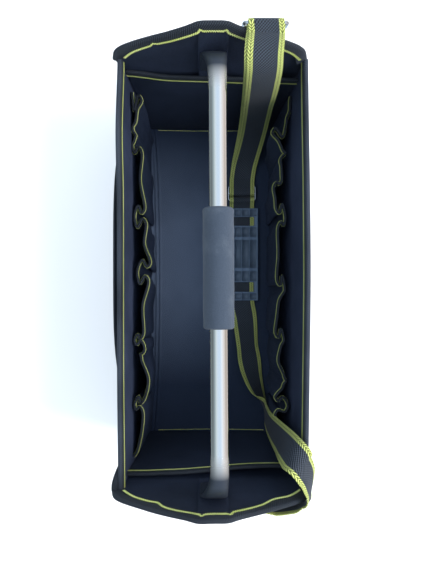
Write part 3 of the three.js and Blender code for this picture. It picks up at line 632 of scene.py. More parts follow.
def zigzag(body, stations, aside, below, swing=STITCH_SWING, thread=THREAD, notches=()):
    """Zigzag thread along a binding, aside from its middle and below its top, rising at each notch in x."""
    lengths = lengths_along([s["place"] for s in stations])
    count = int(lengths[-1] / (STITCH_PITCH / 2))
    rings = []
    out = math.copysign(1, aside)
    for k in range(count + 1):
        s = station_at(stations, lengths, lengths[-1] * k / count)
        rise = sum(max(0, 1 - abs(s["place"].x - spot) / NOTCH_HALF) for spot in notches) * NOTCH_RISE
        shift = below - rise + (swing if k % 2 else -swing)
        place = s["place"] + s["side"] * aside + s["down"] * shift
        along = s["along"].normalized() * thread * THREAD_HALF
        up = s["side"].normalized() * out * thread * THREAD_HALF
        rings.append([place - along, place + up * 0.9, place + along, place - up * 0.5])
    body.loft(rings, [0, 0.3, 0.6, 0.9], [k * 0.9 for k in range(count + 1)])


def seam_thread(body, points):
    """A straight seam as short stitches with small gaps."""
    lengths = lengths_along(points)
    stations = path_stations(points, Vector((0, 0, -1)))
    count = int(lengths[-1] / SEAM_STITCH)
    for k in range(count):
        rings = []
        for t, share in ((0.04, 0.3), (0.2, 1), (0.76, 1), (0.92, 0.3)):
            s = station_at(stations, lengths, lengths[-1] * (k + t) / count)
            across = s["side"] * SEAM_THREAD * 0.5 * share
            up = Vector((0, 0, SEAM_THREAD * 0.45 * share))
            rings.append([s["place"] - across, s["place"] + up, s["place"] + across, s["place"] - up])
        body.loft(rings, [0, 0.3, 0.6, 0.9], [0, 0.6, 1.9, 2.5])


def bound(name, node, stations, thickness, wall, deep, paint="binding", sharp=50):
    """The webbing folded over an edge, as one piece."""
    edge = Body()
    bind(edge, stations, thickness, wall, deep)
    edge.make(name, paint, [node], sharp)


def stitched(name, stations, aside, below, *look):
    """Zigzag thread on both faces of a binding, as one piece."""
    thread = Body()
    for face in (-1, 1):
        zigzag(thread, stations, face * aside, below, *look)
    thread.make(name, "lime")


# Materials

class Nodes:
    """A material's node tree, with short calls for what comes up often."""

    def __init__(self, name):
        self.material = bpy.data.materials.new(name)
        self.material.use_nodes = True
        self.tree = self.material.node_tree
        self.shader = self.tree.nodes["Principled BSDF"]

    def add(self, kind, **values):
        node = self.tree.nodes.new(kind)
        for key, value in values.items():
            setattr(node, key, value)
        return node

    def join(self, start, end):
        self.tree.links.new(start, end)

    def feed(self, socket, value):
        if isinstance(value, bpy.types.NodeSocket):
            self.join(value, socket)
        else:
            socket.default_value = value

    def maths(self, operation, a, b=0.0, c=0.0):
        node = self.add("ShaderNodeMath", operation=operation)
        for socket, value in zip(node.inputs, (a, b, c)):
            self.feed(socket, value)
        return node.outputs[0]

    def times(self, a, b):
        return self.maths("MULTIPLY", a, b)

    def plus(self, a, b):
        return self.maths("ADD", a, b)

    def minus(self, a, b):
        return self.maths("SUBTRACT", a, b)

    def scaled(self, a, scale, start):
        return self.maths("MULTIPLY_ADD", a, scale, start)

    def absolute(self, a):
        return self.maths("ABSOLUTE", a)

    def mix(self, share, a, b):
        node = self.add("ShaderNodeMix", data_type="RGBA")
        self.feed(node.inputs["Factor"], share)
        self.feed(node.inputs["A"], a)
        self.feed(node.inputs["B"], b)
        return node.outputs["Result"]

    def cloth_uv(self):
        split = self.add("ShaderNodeSeparateXYZ")
        self.join(self.add("ShaderNodeUVMap", uv_map="cloth").outputs[0], split.inputs[0])
        return split.outputs[0], split.outputs[1]

    def space(self):
        return self.add("ShaderNodeTexCoord").outputs["Object"]

    def xyz(self):
        split = self.add("ShaderNodeSeparateXYZ")
        self.join(self.space(), split.inputs[0])
        return split.outputs[0], split.outputs[1], split.outputs[2]

    def cloud(self, scale, detail, roughness=0.55, vector=None):
        node = self.add("ShaderNodeTexNoise")
        node.inputs["Scale"].default_value = scale
        node.inputs["Detail"].default_value = detail
        node.inputs["Roughness"].default_value = roughness
        self.join(vector or self.space(), node.inputs["Vector"])
        return node.outputs["Fac"]

    def ramp(self, value, low, high):
        node = self.add("ShaderNodeMapRange")
        self.feed(node.inputs["Value"], value)
        node.inputs["From Min"].default_value = low
        node.inputs["From Max"].default_value = high
        return node.outputs[0]

    def wave(self, value, pitch):
        """0 to 1 and back in every pitch."""
        turned = self.times(value, 2 * math.pi / pitch)
        return self.scaled(self.maths("SINE", turned), 0.5, 0.5)

    def bump(self, height, depth, strength=1.0):
        node = self.add("ShaderNodeBump")
        node.inputs["Distance"].default_value = depth * MM
        node.inputs["Strength"].default_value = strength
        self.join(height, node.inputs["Height"])
        self.join(node.outputs[0], self.shader.inputs["Normal"])

    def set(self, **values):
        for key, value in values.items():
            self.feed(self.shader.inputs[key.replace("_", " ")], value)
        return self.material


def tint(red, green, blue):
    """A colour given as it looks on screen, 0 to 255, in the renderer's linear values."""
    def linear(value):
        c = value / 255
        return c / 12.92 if c <= 0.04045 else ((c + 0.055) / 1.055) ** 2.4

    return (linear(red), linear(green), linear(blue), 1)


def twill(name, dark, light, pitch=1.3, sheen=0.1):
    n = Nodes(name)
    u, v = n.cloth_uv()
    diagonal = n.wave(n.plus(u, v), pitch)
    crossing = n.wave(n.minus(u, n.times(v, 0.4)), pitch * 0.55)
    weave = n.scaled(crossing, 0.3, n.times(diagonal, 0.7))
    fluff = n.cloud(900, 2)
    wear = n.ramp(n.cloud(9, 4, 0.6), 0.3, 0.75)
    colour = n.mix(wear, dark, light)
    mottle = n.ramp(n.cloud(430, 3, 0.7), 0.3, 0.7)
    dips = n.scaled(mottle, 0.35, n.times(n.minus(1, weave), 0.45))
    shaded = n.mix(dips, colour, tint(4, 6, 10))
    lint = n.times(n.ramp(fluff, 0.66, 0.8), 0.3)
    n.bump(n.plus(weave, n.times(fluff, 0.4)), 0.22, 0.8)
    n.set(Base_Color=n.mix(lint, shaded, tint(92, 102, 120)), Roughness=0.82)
    return n.set(Sheen_Weight=sheen, Sheen_Roughness=0.45, Sheen_Tint=tint(110, 135, 190))


def floor_cloth(name, ends, middle):
    """Twill with a pool of light painted paler along the middle of the floor, and painted shade towards its
    ends and towards the strap at the right.
    """
    n = Nodes(name)
    u, v = n.cloth_uv()
    diagonal = n.wave(n.plus(u, v), 1.5)
    x, y = n.xyz()[:2]
    # Painted light: paler in a pool along the middle of the floor, darker towards its ends and towards the
    # strap's shade at the right
    pool_distance = n.absolute(n.minus(y, FLOOR_LIGHT_POOL["middle"]))
    clear_of_strap_shade = n.ramp(x, FLOOR_LIGHT_POOL["right"], 0.0)
    painted_light_pool = n.times(n.ramp(pool_distance, FLOOR_LIGHT_POOL["reach"], FLOOR_LIGHT_POOL["reach"] * 0.25), clear_of_strap_shade)
    blotches = n.scaled(n.cloud(14, 4, 0.6), 0.7, 0.65)
    fluff = n.cloud(900, 2)
    colour = n.mix(n.times(painted_light_pool, blotches), ends, middle)
    shaded = n.mix(n.times(n.minus(1, diagonal), 0.35), colour, tint(8, 12, 20))
    lint = n.times(n.ramp(fluff, 0.66, 0.8), 0.3)
    n.bump(n.plus(diagonal, n.times(fluff, 0.4)), 0.18, 0.7)
    n.set(Base_Color=n.mix(lint, shaded, tint(110, 122, 142)), Roughness=0.85)
    return n.set(Sheen_Weight=0.1, Sheen_Roughness=0.45, Sheen_Tint=tint(120, 140, 190))


def ribbed(name, dark, light):
    """Binding webbing: slanted ribs across its width."""
    pitch = 2.6
    n = Nodes(name)
    u, v = n.cloth_uv()
    ribs = n.wave(n.plus(u, n.times(v, 0.55)), pitch)
    beads = n.wave(n.minus(u, n.times(v, 0.9)), pitch * 1.1)
    weave = n.times(ribs, n.scaled(beads, 0.6, 0.4))
    grain = n.cloud(700, 2)
    wear = n.ramp(n.cloud(14, 3), 0.35, 0.7)
    colour = n.mix(weave, dark, n.mix(n.times(wear, 0.5), light, dark))
    n.bump(n.plus(weave, n.times(grain, 0.3)), 0.5, 1.0)
    n.set(Base_Color=colour, Roughness=n.scaled(grain, 0.2, 0.62))
    return n.set(Sheen_Weight=0.06, Sheen_Roughness=0.4, Sheen_Tint=tint(150, 165, 190))


def lime_thread(name):
    n = Nodes(name)
    grain = n.cloud(1400, 2)
    patches = n.ramp(n.cloud(26, 2), 0.3, 0.7)
    colour = n.mix(patches, tint(196, 208, 112), tint(226, 234, 158))
    n.bump(grain, 0.15)
    shaded = n.mix(n.times(grain, 0.35), colour, tint(132, 142, 58))
    return n.set(Base_Color=shaded, Roughness=0.6)


def strap_webbing(name):
    """Dark webbing with a braided lime band at each edge; v runs across it from -half to half."""
    n = Nodes(name)
    u, v = n.cloth_uv()
    off = n.absolute(v)
    band_start = STRAP_WIDTH / 2 - LIME_BAND
    band_middle = STRAP_WIDTH / 2 - LIME_BAND / 2
    lime = n.ramp(off, band_start - 0.15, band_start + 0.15)
    lean = n.absolute(n.minus(off, band_middle))
    braid = n.wave(n.plus(u, n.times(lean, 1.1)), 3.0)
    braid = n.ramp(braid, 0.2, 0.75)
    gap = n.ramp(n.absolute(n.minus(lean, 0.1)), 0.45, 0.1)
    slant = n.wave(n.plus(u, n.times(v, 0.9)), 3.1)
    counter = n.wave(n.minus(u, n.times(v, 0.9)), 3.1)
    ribs = n.ramp(n.scaled(counter, 0.35, n.times(slant, 0.65)), 0.2, 0.8)
    grain = n.cloud(800, 2)
    thread = n.times(ribs, n.scaled(grain, 0.5, 0.7))
    core = n.mix(thread, tint(9, 12, 18), tint(70, 78, 90))
    bright = n.mix(braid, tint(84, 96, 30), tint(214, 222, 134))
    worn = n.mix(n.times(gap, 0.7), bright, tint(58, 66, 26))
    n.bump(n.plus(n.mix(lime, ribs, braid), n.times(grain, 0.25)), 0.45, 0.9)
    n.set(Base_Color=n.mix(lime, core, worn), Roughness=0.68)
    return n.set(Sheen_Weight=0.05, Sheen_Roughness=0.4)


def foam(name):
    n = Nodes(name)
    pores = n.cloud(620, 4, 0.65)
    scuffs = n.ramp(n.cloud(38, 3), 0.55, 0.78)
    speckle = n.ramp(n.cloud(1300, 2), 0.3, 0.7)
    colour = n.mix(n.times(scuffs, 0.35), tint(66, 76, 90), tint(110, 120, 130))
    n.bump(pores, 0.35, 0.8)
    mottled = n.mix(n.times(speckle, 0.5), colour, tint(34, 42, 54))
    n.set(Base_Color=mottled, Roughness=0.9)
    return n.set(Sheen_Weight=0.1, Sheen_Roughness=0.5)


def moulded(name):
    n = Nodes(name)
    ribs = n.wave(n.cloth_uv()[1], 2.2)
    wear = n.ramp(n.cloud(30, 3), 0.3, 0.75)
    grain = n.cloud(1500, 2)
    height = n.xyz()[2]
    top = (FLOOR_TOP + CLEARANCE + PAD_THICKNESS) * MM
    # Painted highlight and shade: the raised bars of the relief are painted lighter than the sunk cells
    painted_relief_light = n.ramp(height, top - PAD_CELL_DEPTH * MM * 0.8, top - PAD_CELL_DEPTH * MM * 0.2)
    colour = n.mix(painted_relief_light, n.mix(wear, tint(88, 103, 121), tint(98, 114, 134)), tint(104, 124, 150))
    n.bump(n.plus(n.times(ribs, 0.8), n.times(grain, 0.3)), 0.22, 0.6)
    shaded = n.mix(n.times(n.minus(1, ribs), 0.35), colour, tint(34, 44, 58))
    return n.set(Base_Color=shaded, Roughness=0.5)


# Where the handle's flattened ends are painted with a dark reflection and lose their shine, in metres from
# the middle
PRESSED_DARK_REFLECTION_FROM = (0.19, 0.217)


def steel(name):
    """Polished tube: fine drawn lines and a few dull smears; its flattened ends are duller and painted with a
    dark reflection.
    """
    n = Nodes(name)
    pressed_dark_reflection = n.ramp(n.absolute(n.xyz()[1]), *PRESSED_DARK_REFLECTION_FROM)
    smear = n.cloud(60, 3)
    stretch = n.add("ShaderNodeMapping")
    stretch.inputs["Scale"].default_value = (1, 0.02, 1)
    n.join(n.space(), stretch.inputs[0])
    lines = n.cloud(1800, 2, 0.5, stretch.outputs[0])
    rough = n.scaled(smear, 0.1, n.scaled(pressed_dark_reflection, 0.25, 0.1))
    n.bump(lines, 0.012, 0.5)
    # Painted reflection: the flattened ends are painted dark, standing in for the dark inside of the bag that
    # they face
    colour = n.mix(pressed_dark_reflection, tint(250, 248, 244), tint(54, 60, 70))
    bright = n.minus(1, n.times(pressed_dark_reflection, 0.6))
    return n.set(Base_Color=colour, Metallic=bright, Roughness=rough)


def plated(name):
    n = Nodes(name)
    smear = n.cloud(160, 3)
    n.bump(n.cloud(900, 2), 0.01, 0.4)
    colour = n.mix(smear, tint(228, 230, 234), tint(196, 200, 208))
    return n.set(Base_Color=colour, Metallic=1.0, Roughness=n.scaled(smear, 0.15, 0.08))


# Where a pool of light is painted on the floor, in metres: its middle and reach along the bag, and its limit
# at the right, past which the strap's shade is painted
FLOOR_LIGHT_POOL = {"middle": 0.035, "reach": 0.2, "right": 0.04}

PAINT = {
    "twill": twill("twill_navy", tint(44, 52, 73), tint(78, 88, 116)),
    # A darker copy of the walls' twill for the end panels and their pleats: painted shade
    "ends": twill("twill_ends_shaded", tint(24, 31, 46), tint(46, 55, 78)),
    "lining": twill("twill_black", tint(20, 28, 44), tint(44, 54, 76), 1.3, 0.08),
    "floor": floor_cloth("twill_floor", tint(34, 46, 68), tint(94, 108, 132)),
    "binding": ribbed("binding_webbing", tint(5, 7, 11), tint(66, 73, 85)),
    # A lighter copy of the binding webbing for the side rims: painted light
    "rim": ribbed("rim_webbing_lit", tint(8, 10, 16), tint(94, 104, 120)),
    "lime": lime_thread("lime_thread"),
    "strap": strap_webbing("strap_webbing"),
    "foam": foam("foam"),
    "moulded": moulded("moulded_plastic"),
    "steel": steel("polished_steel"),
    "plated": plated("plated_metal"),
}


# Bottom and floor

def rounded_outline(half_x, half_y, corner):
    steps = 6
    points = []
    for quarter, (sx, sy) in enumerate(((1, 1), (-1, 1), (-1, -1), (1, -1))):
        for k in range(steps + 1):
            angle = (quarter + k / steps) * math.pi / 2
            points.append(Vector((
                sx * (half_x - corner) + corner * math.cos(angle),
                sy * (half_y - corner) + corner * math.sin(angle),
                0,
            )))
    return points


def add_base():
    """Outside bottom: a stiff board in cloth with a rounded edge."""
    half_x, half_y = HALF_WIDTH + PANEL, HALF_LENGTH + PANEL
    # Section of the board's edge, as (inset, height)
    levels = [(6, 0.0), (1.2, 0.0), (0.4, 0.35), (0, 1.0), (0, 2.0), (0.5, 2.8), (1.4, 3.0), (6, 3.0)]
    rings = []
    for inset, z in levels:
        outline = rounded_outline(half_x - inset, half_y - inset, 4 + inset * 0.2)
        rings.append([p + Vector((0, 0, z)) for p in outline])
    body = Body()
    body.loft(rings, [p.y for p in rings[0]], [p[0] for p in levels], caps=False)
    count = len(rings[0])
    body.faces.append(tuple(range(count)))
    body.faces.append(tuple(range((len(rings) - 1) * count, len(rings) * count))[::-1])
    body.uvs = [(p.x, p.y) for p in body.points]
    body.make("base_board", "lining", ["base_panel"])


# Long soft creases of the floor: across and along are shares of its half width and half length, where
# each starts and ends, deep is in mm
FLOOR_CREASES = table(
    "from_across to_across deep wide",
    (-0.985, -0.877, 3.0, 1.7),
    (-0.93, -0.82, 1.8, 1.5),
    (-0.96, -0.85, -1.8, 1.6),
)


def floor_height(x, y):
    across = abs(x) / HALF_WIDTH
    lip = FLOOR_LIP * smooth(0.915, 1.0, across) ** 1.4
    height = FLOOR_TOP + lip
    middle = 1 - (y / HALF_LENGTH) ** 2
    for crease in FLOOR_CREASES:
        at = lerp(crease["from_across"], crease["to_across"], middle ** 0.55 if middle > 0 else 0)
        off = (x / HALF_WIDTH - at) * HALF_WIDTH / crease["wide"]
        height += crease["deep"] * 0.55 * math.exp(-off * off)
    spot = Vector((x, y, 0))
    height += WRINKLES["floor"]["deep"] * ripple(spot, WRINKLES["floor"]["size"], 2) * (1 - across**4)
    return height


# The floor cloth's gap at each end and its thickness, and its seams: inset from the end, share of the
# half width that they reach, and how far they bow
FLOOR_GAP = 3.6
FLOOR_CLOTH = 2.2
SEAM_INSET = 5.2
SEAM_REACH = 0.86
SEAM_BOW = 0.8
# Share of a half turn over which the floor's columns crowd towards its long edges
FLOOR_CROWDING = 0.98


def add_floor():
    columns, rows = 160, 120
    half_x, half_y = HALF_WIDTH - CLEARANCE, HALF_LENGTH - FLOOR_GAP
    body = Body()
    rings = []
    for i in range(columns + 1):
        turn = (i / columns - 0.5) * math.pi * FLOOR_CROWDING
        x = half_x * math.sin(turn) / math.sin(FLOOR_CROWDING / 2 * math.pi)
        top = [Vector((x, lerp(-half_y, half_y, j / rows), 0)) for j in range(rows + 1)]
        for p in top:
            p.z = floor_height(p.x, p.y)
        under = [Vector((p.x, p.y, p.z - FLOOR_CLOTH)) for p in reversed(top)]
        rings.append(top + under)
    around = [p.y for p in rings[0]]
    body.loft(rings, around, [ring[0].x for ring in rings])
    body.make("floor_cloth", "floor", ["floor_panel"])

    seams = Body()
    for end in (-1, 1):
        y = end * (HALF_LENGTH - SEAM_INSET)
        xs = [lerp(-half_x * SEAM_REACH, half_x * SEAM_REACH, k / 60) for k in range(61)]
        line = [Vector((x, y - end * SEAM_BOW * math.cos(x / 40), floor_height(x, y) + 0.25)) for x in xs]
        seam_thread(seams, line)
    seams.make("floor_seams", "lime")


# Walls, their bindings and stitching

# The end rims' stitch leaves the rim at this share of the half width and runs on straight, in mm
ROUND_FROM = 0.92
STITCH_OVERRUN = 20
OVERRUN_DROOP = 0.09
END_STITCH_SWING = 1.5
# How far the stitch on each end rim strays from its even line, downwards, by place across in mm
STITCH_STRAY = {
    "far": table("x down", (-110, 0), (0, 0), (110, 0)),
    "near": table(
        "x down",
        (-100, 0), (-76, 0.5), (-66, 2.6), (-58, -2), (-22, -1.8), (-6, -0.6),
        (14, -0.6), (39, -2.4), (56, -1), (70, 2.8), (88, 1), (110, 0),
    ),
}
STITCH_NOTCHES = {"far": (-PATCH_WIDTH / 2, PATCH_WIDTH / 2, -69), "near": (-13.4, 21.4)}
# Middle line of the near left ear, where the rim rolls round the corner of the side wall
EAR_ROLL = [
    (-110.5, -256.5, 229.5),
    (-113.2, -252.5, 230.5),
    (-113.6, -246, 230.5),
    (-112.2, -238.5, 228),
    (-109.8, -231, 220),
]
EAR_ROLL_WIDTH = 6


def straight_ends(stations, limit, overrun):
    """The stations within limit of the middle, carried straight on by overrun at both ends."""
    kept = [s for s in stations if abs(s["place"].x) < limit]
    down = kept[len(kept) // 2]["down"]
    for at, inner in ((0, 3), (-1, -4)):
        last = kept[at]
        onward = (last["place"] - kept[inner]["place"]).normalized()
        steps = [
            {**last, "place": last["place"] + (onward + down * OVERRUN_DROOP * k) * overrun * k / 4}
            for k in range(1, 5)
        ]
        kept = steps[::-1] + kept if at == 0 else kept + steps
    return kept


def add_walls():
    aside = PANEL / 2 + BINDING + RIM_STITCH_STAND
    for side in ("left", "right"):
        surface = side_surface(side)
        sheet(f"wall_{side}", f"side_wall_{side}", surface, 90, 34, PANEL, "twill")
        stations = edge_stations(surface, 160)
        bound(f"rim_{side}", f"side_rim_{side}", stations, PANEL, BINDING, BINDING_DEPTH, "rim")
        stitched(f"rim_stitch_{side}", stations, aside, BINDING_DEPTH - 2.4)
    for end in ("far", "near"):
        surface = end_surface(end)
        sheet(f"panel_{end}", f"end_panel_{end}", surface, 84, 50, PANEL, "ends")
        stations = edge_stations(surface, 110)
        edge = Body()
        bind(edge, stations, PANEL, BINDING, BINDING_DEPTH)
        if end == "near":
            roll = spaced(catmull([Vector(p) for p in EAR_ROLL], 8), 1.5)
            bind(edge, path_stations(roll, Vector((0, 0, -1))), EAR_ROLL_WIDTH, BINDING, BINDING_DEPTH)
        edge.make(f"rim_{end}", "binding", [f"end_rim_{end}"])
        straight = straight_ends(stations, ROUND_FROM * HALF_WIDTH, STITCH_OVERRUN)
        stray = curve_through(STITCH_STRAY[end], "x", "down")
        strayed = [{**s, "place": s["place"] + s["down"] * stray(s["place"].x)} for s in straight]
        look = (END_STITCH_SWING, THREAD, STITCH_NOTCHES[end])
        stitched(f"rim_stitch_{end}", strayed, aside, BINDING_DEPTH - 2.2, *look)


# Pockets across the ends

# How far the far pocket's edge climbs at its left end, in mm
END_POCKET_CLIMB = 6


def end_pocket_surface(end):
    foot = FLOOR_TOP + CLEARANCE
    wrinkle = WRINKLES["end_pocket"]

    def point(u, v):
        across = 2 * u - 1
        climb = END_POCKET_CLIMB * smooth(0.45, 1.0, -across) if end == "far" else 0
        z = foot + (END_POCKET_HEIGHT + climb - POCKET_BINDING - CLEARANCE - foot) * v
        gape = end_pocket_gape[end](across) * v**1.5
        y = end_inner(z) - CLEARANCE * 2 - gape - POCKET_CLOTH / 2 - POCKET_BINDING
        reach = HALF_WIDTH + SIDE_FLARE * side_out(z / SIDE_HEIGHT) - 2 * CLEARANCE - POCKET_BINDING
        spot = Vector((across * reach, SIGN[end] * y, z))
        spot.y += SIGN[end] * wrinkle["deep"] * v * (1 - across**2) * ripple(spot, wrinkle["size"], 6)
        return spot

    return point


def add_end_pockets():
    aside = POCKET_CLOTH / 2 + POCKET_BINDING + POUCH_STITCH_STAND
    for end in ("far", "near"):
        surface = end_pocket_surface(end)
        sheet(f"end_pouch_{end}", f"end_pocket_{end}", surface, 60, 24, POCKET_CLOTH, "lining")
        stations = edge_stations(surface, 90)
        wall, deep = POCKET_BINDING + 0.3, BINDING_DEPTH - 1
        bound(f"end_pouch_edge_{end}", f"end_pocket_edge_{end}", stations, POCKET_CLOTH, wall, deep)
        stitched(f"end_pouch_stitch_{end}", stations, aside, BINDING_DEPTH - 3, POUCH_STITCH_SWING)


# Gathered pockets along the sides

POCKET_END = HALF_LENGTH - 5.4
# How far a strip's foot stands off the wall, and the share of the edge's fullness past the slack, in
# mm, that the foot follows
STRIP_FOOT = 3.4
STRIP_SLACK = 6
STRIP_FOLLOW = 0.45
# The strip's own cloth is thinner than the flat pockets'
STRIP_CLOTH = POCKET_CLOTH * 0.7


# Stitch on a strip's binding: bold on the face towards the middle of the bag, fine and low behind
STRIP_STITCHES = table(
    "face up swing thread",
    (1, 5.2, 0.9, 1.1), (-1, 2.6, 0.7, 0.6),
)


def pleat_points(side):
    """Turning points of the pocket edge in plan, as (along, off the wall), from far to near."""
    rows = PLEATS[side]
    ease = 5
    lip = 4
    points = []
    for i, row in enumerate(rows):
        at, gap, back = row["at"], row["gap"], row["back"]
        if i:
            before = row["before"]
            points.append((at + gap + ease, before))
            if row["tuck_in"]:
                points.append((at + gap, before - lip))
                points.append((at + gap + row["tuck_in"], lerp(back, before, 0.4)))
            else:
                points.append((at + gap, lerp(before, back, 0.4)))
        points.append((at, back))
        if i == len(rows) - 1:
            break
        after = row["after"]
        if row["tuck_out"]:
            points.append((at - gap - row["tuck_out"], lerp(back, after, 0.25)))
            points.append((at - gap, after - lip))
        else:
            points.append((at - gap, lerp(after, back, 0.4)))
        points.append((at - gap - ease - 1, after))
        points.append(((at + rows[i + 1]["at"]) / 2, row["mid"]))
    return points


def add_side_pockets():
    foot = FLOOR_TOP + CLEARANCE + FLOOR_LIP * 0.72
    top = SIDE_POCKET_HEIGHT - POCKET_BINDING - CLEARANCE
    for side in ("left", "right"):
        corners = [Vector((along, off, 0)) for along, off in pleat_points(side)]
        plan = spaced(catmull(corners, 10), 1.5)
        count = len(plan)
        total = plan[0].x - plan[-1].x
        rows = 14
        rings = []
        for i, spot in enumerate(plan):
            even = plan[0].x - total * i / (count - 1)
            ring_mid = []
            for j in range(rows + 1):
                v = j / rows
                climb = STRIP_CLIMB[side] * smooth(0.7, 1.0, spot.x / POCKET_END)
                z = lerp(foot, top + climb, v)
                settle = smooth(0.0, 0.8, v)
                along = lerp(lerp(even, spot.x, 0.75), spot.x, settle)
                below = STRIP_FOOT + max(0, spot.y - STRIP_SLACK) * STRIP_FOLLOW
                off = lerp(below, spot.y, settle)
                x = SIGN[side] * (side_inner(side, along, z) - off)
                ring_mid.append(Vector((x, along, z)))
            rings.append(ring_mid)
        body = Body()
        thick_rings = []
        for i, ring in enumerate(rings):
            a, b = rings[max(0, i - 1)], rings[min(count - 1, i + 1)]
            front, back = [], []
            for j, p in enumerate(ring):
                along = (b[j] - a[j]).normalized()
                up = (ring[min(rows, j + 1)] - ring[max(0, j - 1)]).normalized()
                offset = along.cross(up).normalized() * POCKET_CLOTH * 0.35
                front.append(p + offset)
                back.insert(0, p - offset)
            thick_rings.append(front + back)
        heights = [lerp(foot, top, j / rows) for j in range(rows + 1)]
        body.loft(thick_rings, heights + heights[::-1], lengths_along([r[-1] for r in rings]))
        pockets = [f"pocket_{side}_{i}" for i in range(1, 7)]
        body.make(f"pocket_strip_{side}", "lining", pockets)
        stations = path_stations([r[-1] for r in rings], Vector((0, 0, -1)))
        look = (STRIP_CLOTH, POCKET_BINDING, POCKET_BINDING_DEPTH, "binding", 75)
        bound(f"pocket_strip_edge_{side}", f"pocket_edge_{side}", stations, *look)
        thread = Body()
        reach = POCKET_CLOTH * 0.35 + POCKET_BINDING + POCKET_STITCH_STAND
        for stitch in STRIP_STITCHES:
            below = POCKET_BINDING_DEPTH - stitch["up"]
            aside = SIGN[side] * stitch["face"] * reach
            zigzag(thread, stations, aside, below, stitch["swing"], stitch["thread"])
        thread.make(f"pocket_strip_stitch_{side}", "lime")


# Handle

def blade_face(end):
    return end_inner(BLADE_FOOT) - PATCH_STAND[end] - CLEARANCE


# How much of its stand each pleat loses where the binding holds it down
PATCH_PINCH = {"far": 0.84, "near": 0.55}


def add_patches():
    """A box pleat up the middle of each end panel, sewn under the rim's binding."""
    top = end_top(PATCH_WIDTH / FLOOR_WIDTH) - BINDING_DEPTH + 2
    for end in ("far", "near"):
        body = Body()
        rings = []
        rows = 26
        half = PATCH_WIDTH / 2
        for j in range(rows + 1):
            z = lerp(PATCH_FOOT, top, j / rows)
            pinch = 1 - PATCH_PINCH[end] * smooth(0.6, 1.0, j / rows)
            stand = (PATCH_STAND[end] - CLEARANCE) * pinch
            wall = end_inner(z) - CLEARANCE
            section = [
                (-half, 0.0), (-half - 0.3, stand * 0.55), (-half + 0.5, stand - 0.3), (-half + 2, stand),
                (-half * 0.4, stand), (half * 0.4, stand), (half - 2, stand), (half - 0.5, stand - 0.3),
                (half + 0.3, stand * 0.55), (half, 0.0),
            ]
            inner = [(x * 0.93, max(0, s - POCKET_CLOTH * 0.6)) for x, s in reversed(section)]
            rings.append([Vector((x, SIGN[end] * (wall - s), z)) for x, s in section + inner])
        around = lengths_along([Vector((x, s, 0)) for x, s in section + inner])
        body.loft(rings, around, [p[0].z for p in rings])
        body.make(f"patch_{end}", "ends", [f"handle_patch_{end}"])


def handle_end(end):
    """Stations from the foot of the flat blade up and round the bend to the level tube."""
    steps = 16
    sign = SIGN[end]
    blade = blade_face(end) - BLADE_THICKNESS / 2
    rows = [(blade, lerp(BLADE_FOOT, TUBE_HEIGHT - TUBE_BEND, k / 5), 0, 0, 1) for k in range(5)]
    for i in range(steps + 1):
        angle = i / steps * math.pi / 2
        y = blade - TUBE_BEND * (1 - math.cos(angle))
        z = TUBE_HEIGHT - TUBE_BEND * (1 - math.sin(angle))
        rows.append((y, z, i / steps, -math.sin(angle), math.cos(angle)))
    return [
        {
            "place": Vector(((TUBE_LEAN - sign * TUBE_SKEW) * smooth(0, 1, turn), sign * y, z)),
            "out": Vector((0, sign * dz, -dy)),
            "flat": tube_flat(turn),
        }
        for y, z, turn, dy, dz in rows
    ]


def handle_stations():
    near, far = handle_end("near"), handle_end("far")
    start, stop = near[-1]["place"], far[-1]["place"]
    steps = 24
    level = [
        {"place": start.lerp(stop, k / steps), "out": Vector((0, 0, 1)), "flat": HANDLE_END[-1]["flat"]}
        for k in range(1, steps)
    ]
    return near + level + far[::-1]


def add_handle():
    sides = 48
    stations = handle_stations()
    rings = []
    for i, s in enumerate(stations):
        closing = 0.8 if i in (0, len(stations) - 1) else 1
        wide = lerp(TUBE_DIAMETER, BLADE_WIDTH, s["flat"]) / 2 * (1 - (1 - closing) * 0.2)
        thick = lerp(TUBE_DIAMETER, BLADE_THICKNESS, s["flat"]) / 2 * closing
        square = lerp(1, 0.45, s["flat"])
        ring = []
        for angle in turns(sides, 0.5):
            c, d = math.cos(angle), math.sin(angle)
            across = math.copysign(abs(c) ** square * wide, c)
            out = math.copysign(abs(d) ** square * thick, d)
            ring.append(s["place"] + Vector((across, 0, 0)) + s["out"] * out)
        rings.append(ring)
    body = Body()
    body.loft(rings, [k / sides * 60 for k in range(sides)], lengths_along([s["place"] for s in stations]))
    body.make("handle", "steel", ["handle_tube"])


def lathe(body, profile, centre, axis, sides):
    """Turn (radius, along) pairs about a line through centre."""
    side = axis.orthogonal().normalized()
    other = axis.cross(side).normalized()
    rings = []
    for angle in turns(sides):
        spoke = side * math.cos(angle) + other * math.sin(angle)
        rings.append([centre + spoke * radius + axis * along for radius, along in profile])
    around = lengths_along([Vector((r, a, 0)) for r, a in profile])
    body.loft(rings, around, [k / sides * 40 for k in range(sides)], closed=True)


def add_rivets():
    head = RIVET_HEAD / 2
    middle = (BLADE_FOOT + TUBE_HEIGHT - TUBE_BEND) / 2
    for end in ("far", "near"):
        for i, z in enumerate((middle - RIVET_SPACING / 2, middle + RIVET_SPACING / 2)):
            inner = blade_face(end) - BLADE_THICKNESS - CLEARANCE
            outer = end_inner(z + RIVET_HEAD) + PANEL + 2 * CLEARANCE
            length = outer - inner
            dome = [(head * math.cos(a), -RIVET_DOME * math.sin(a)) for a in (0.0, 0.35, 0.7, 1.05, 1.35)]
            far_dome = [(r, length - a) for r, a in dome]
            shank = [(RIVET_SHANK, 0.05), (RIVET_SHANK, length - 0.05)]
            profile = [(0.05, -RIVET_DOME)] + dome[::-1] + shank + far_dome + [(0.05, length + RIVET_DOME)]
            body = Body()
            centre = Vector((0, SIGN[end] * inner, z))
            lathe(body, profile, centre, Vector((0, SIGN[end], 0)), 28)
            label = f"rivet_{end}_{i + 1}"
            body.make(label, "plated", [f"handle_{label}"], 60)


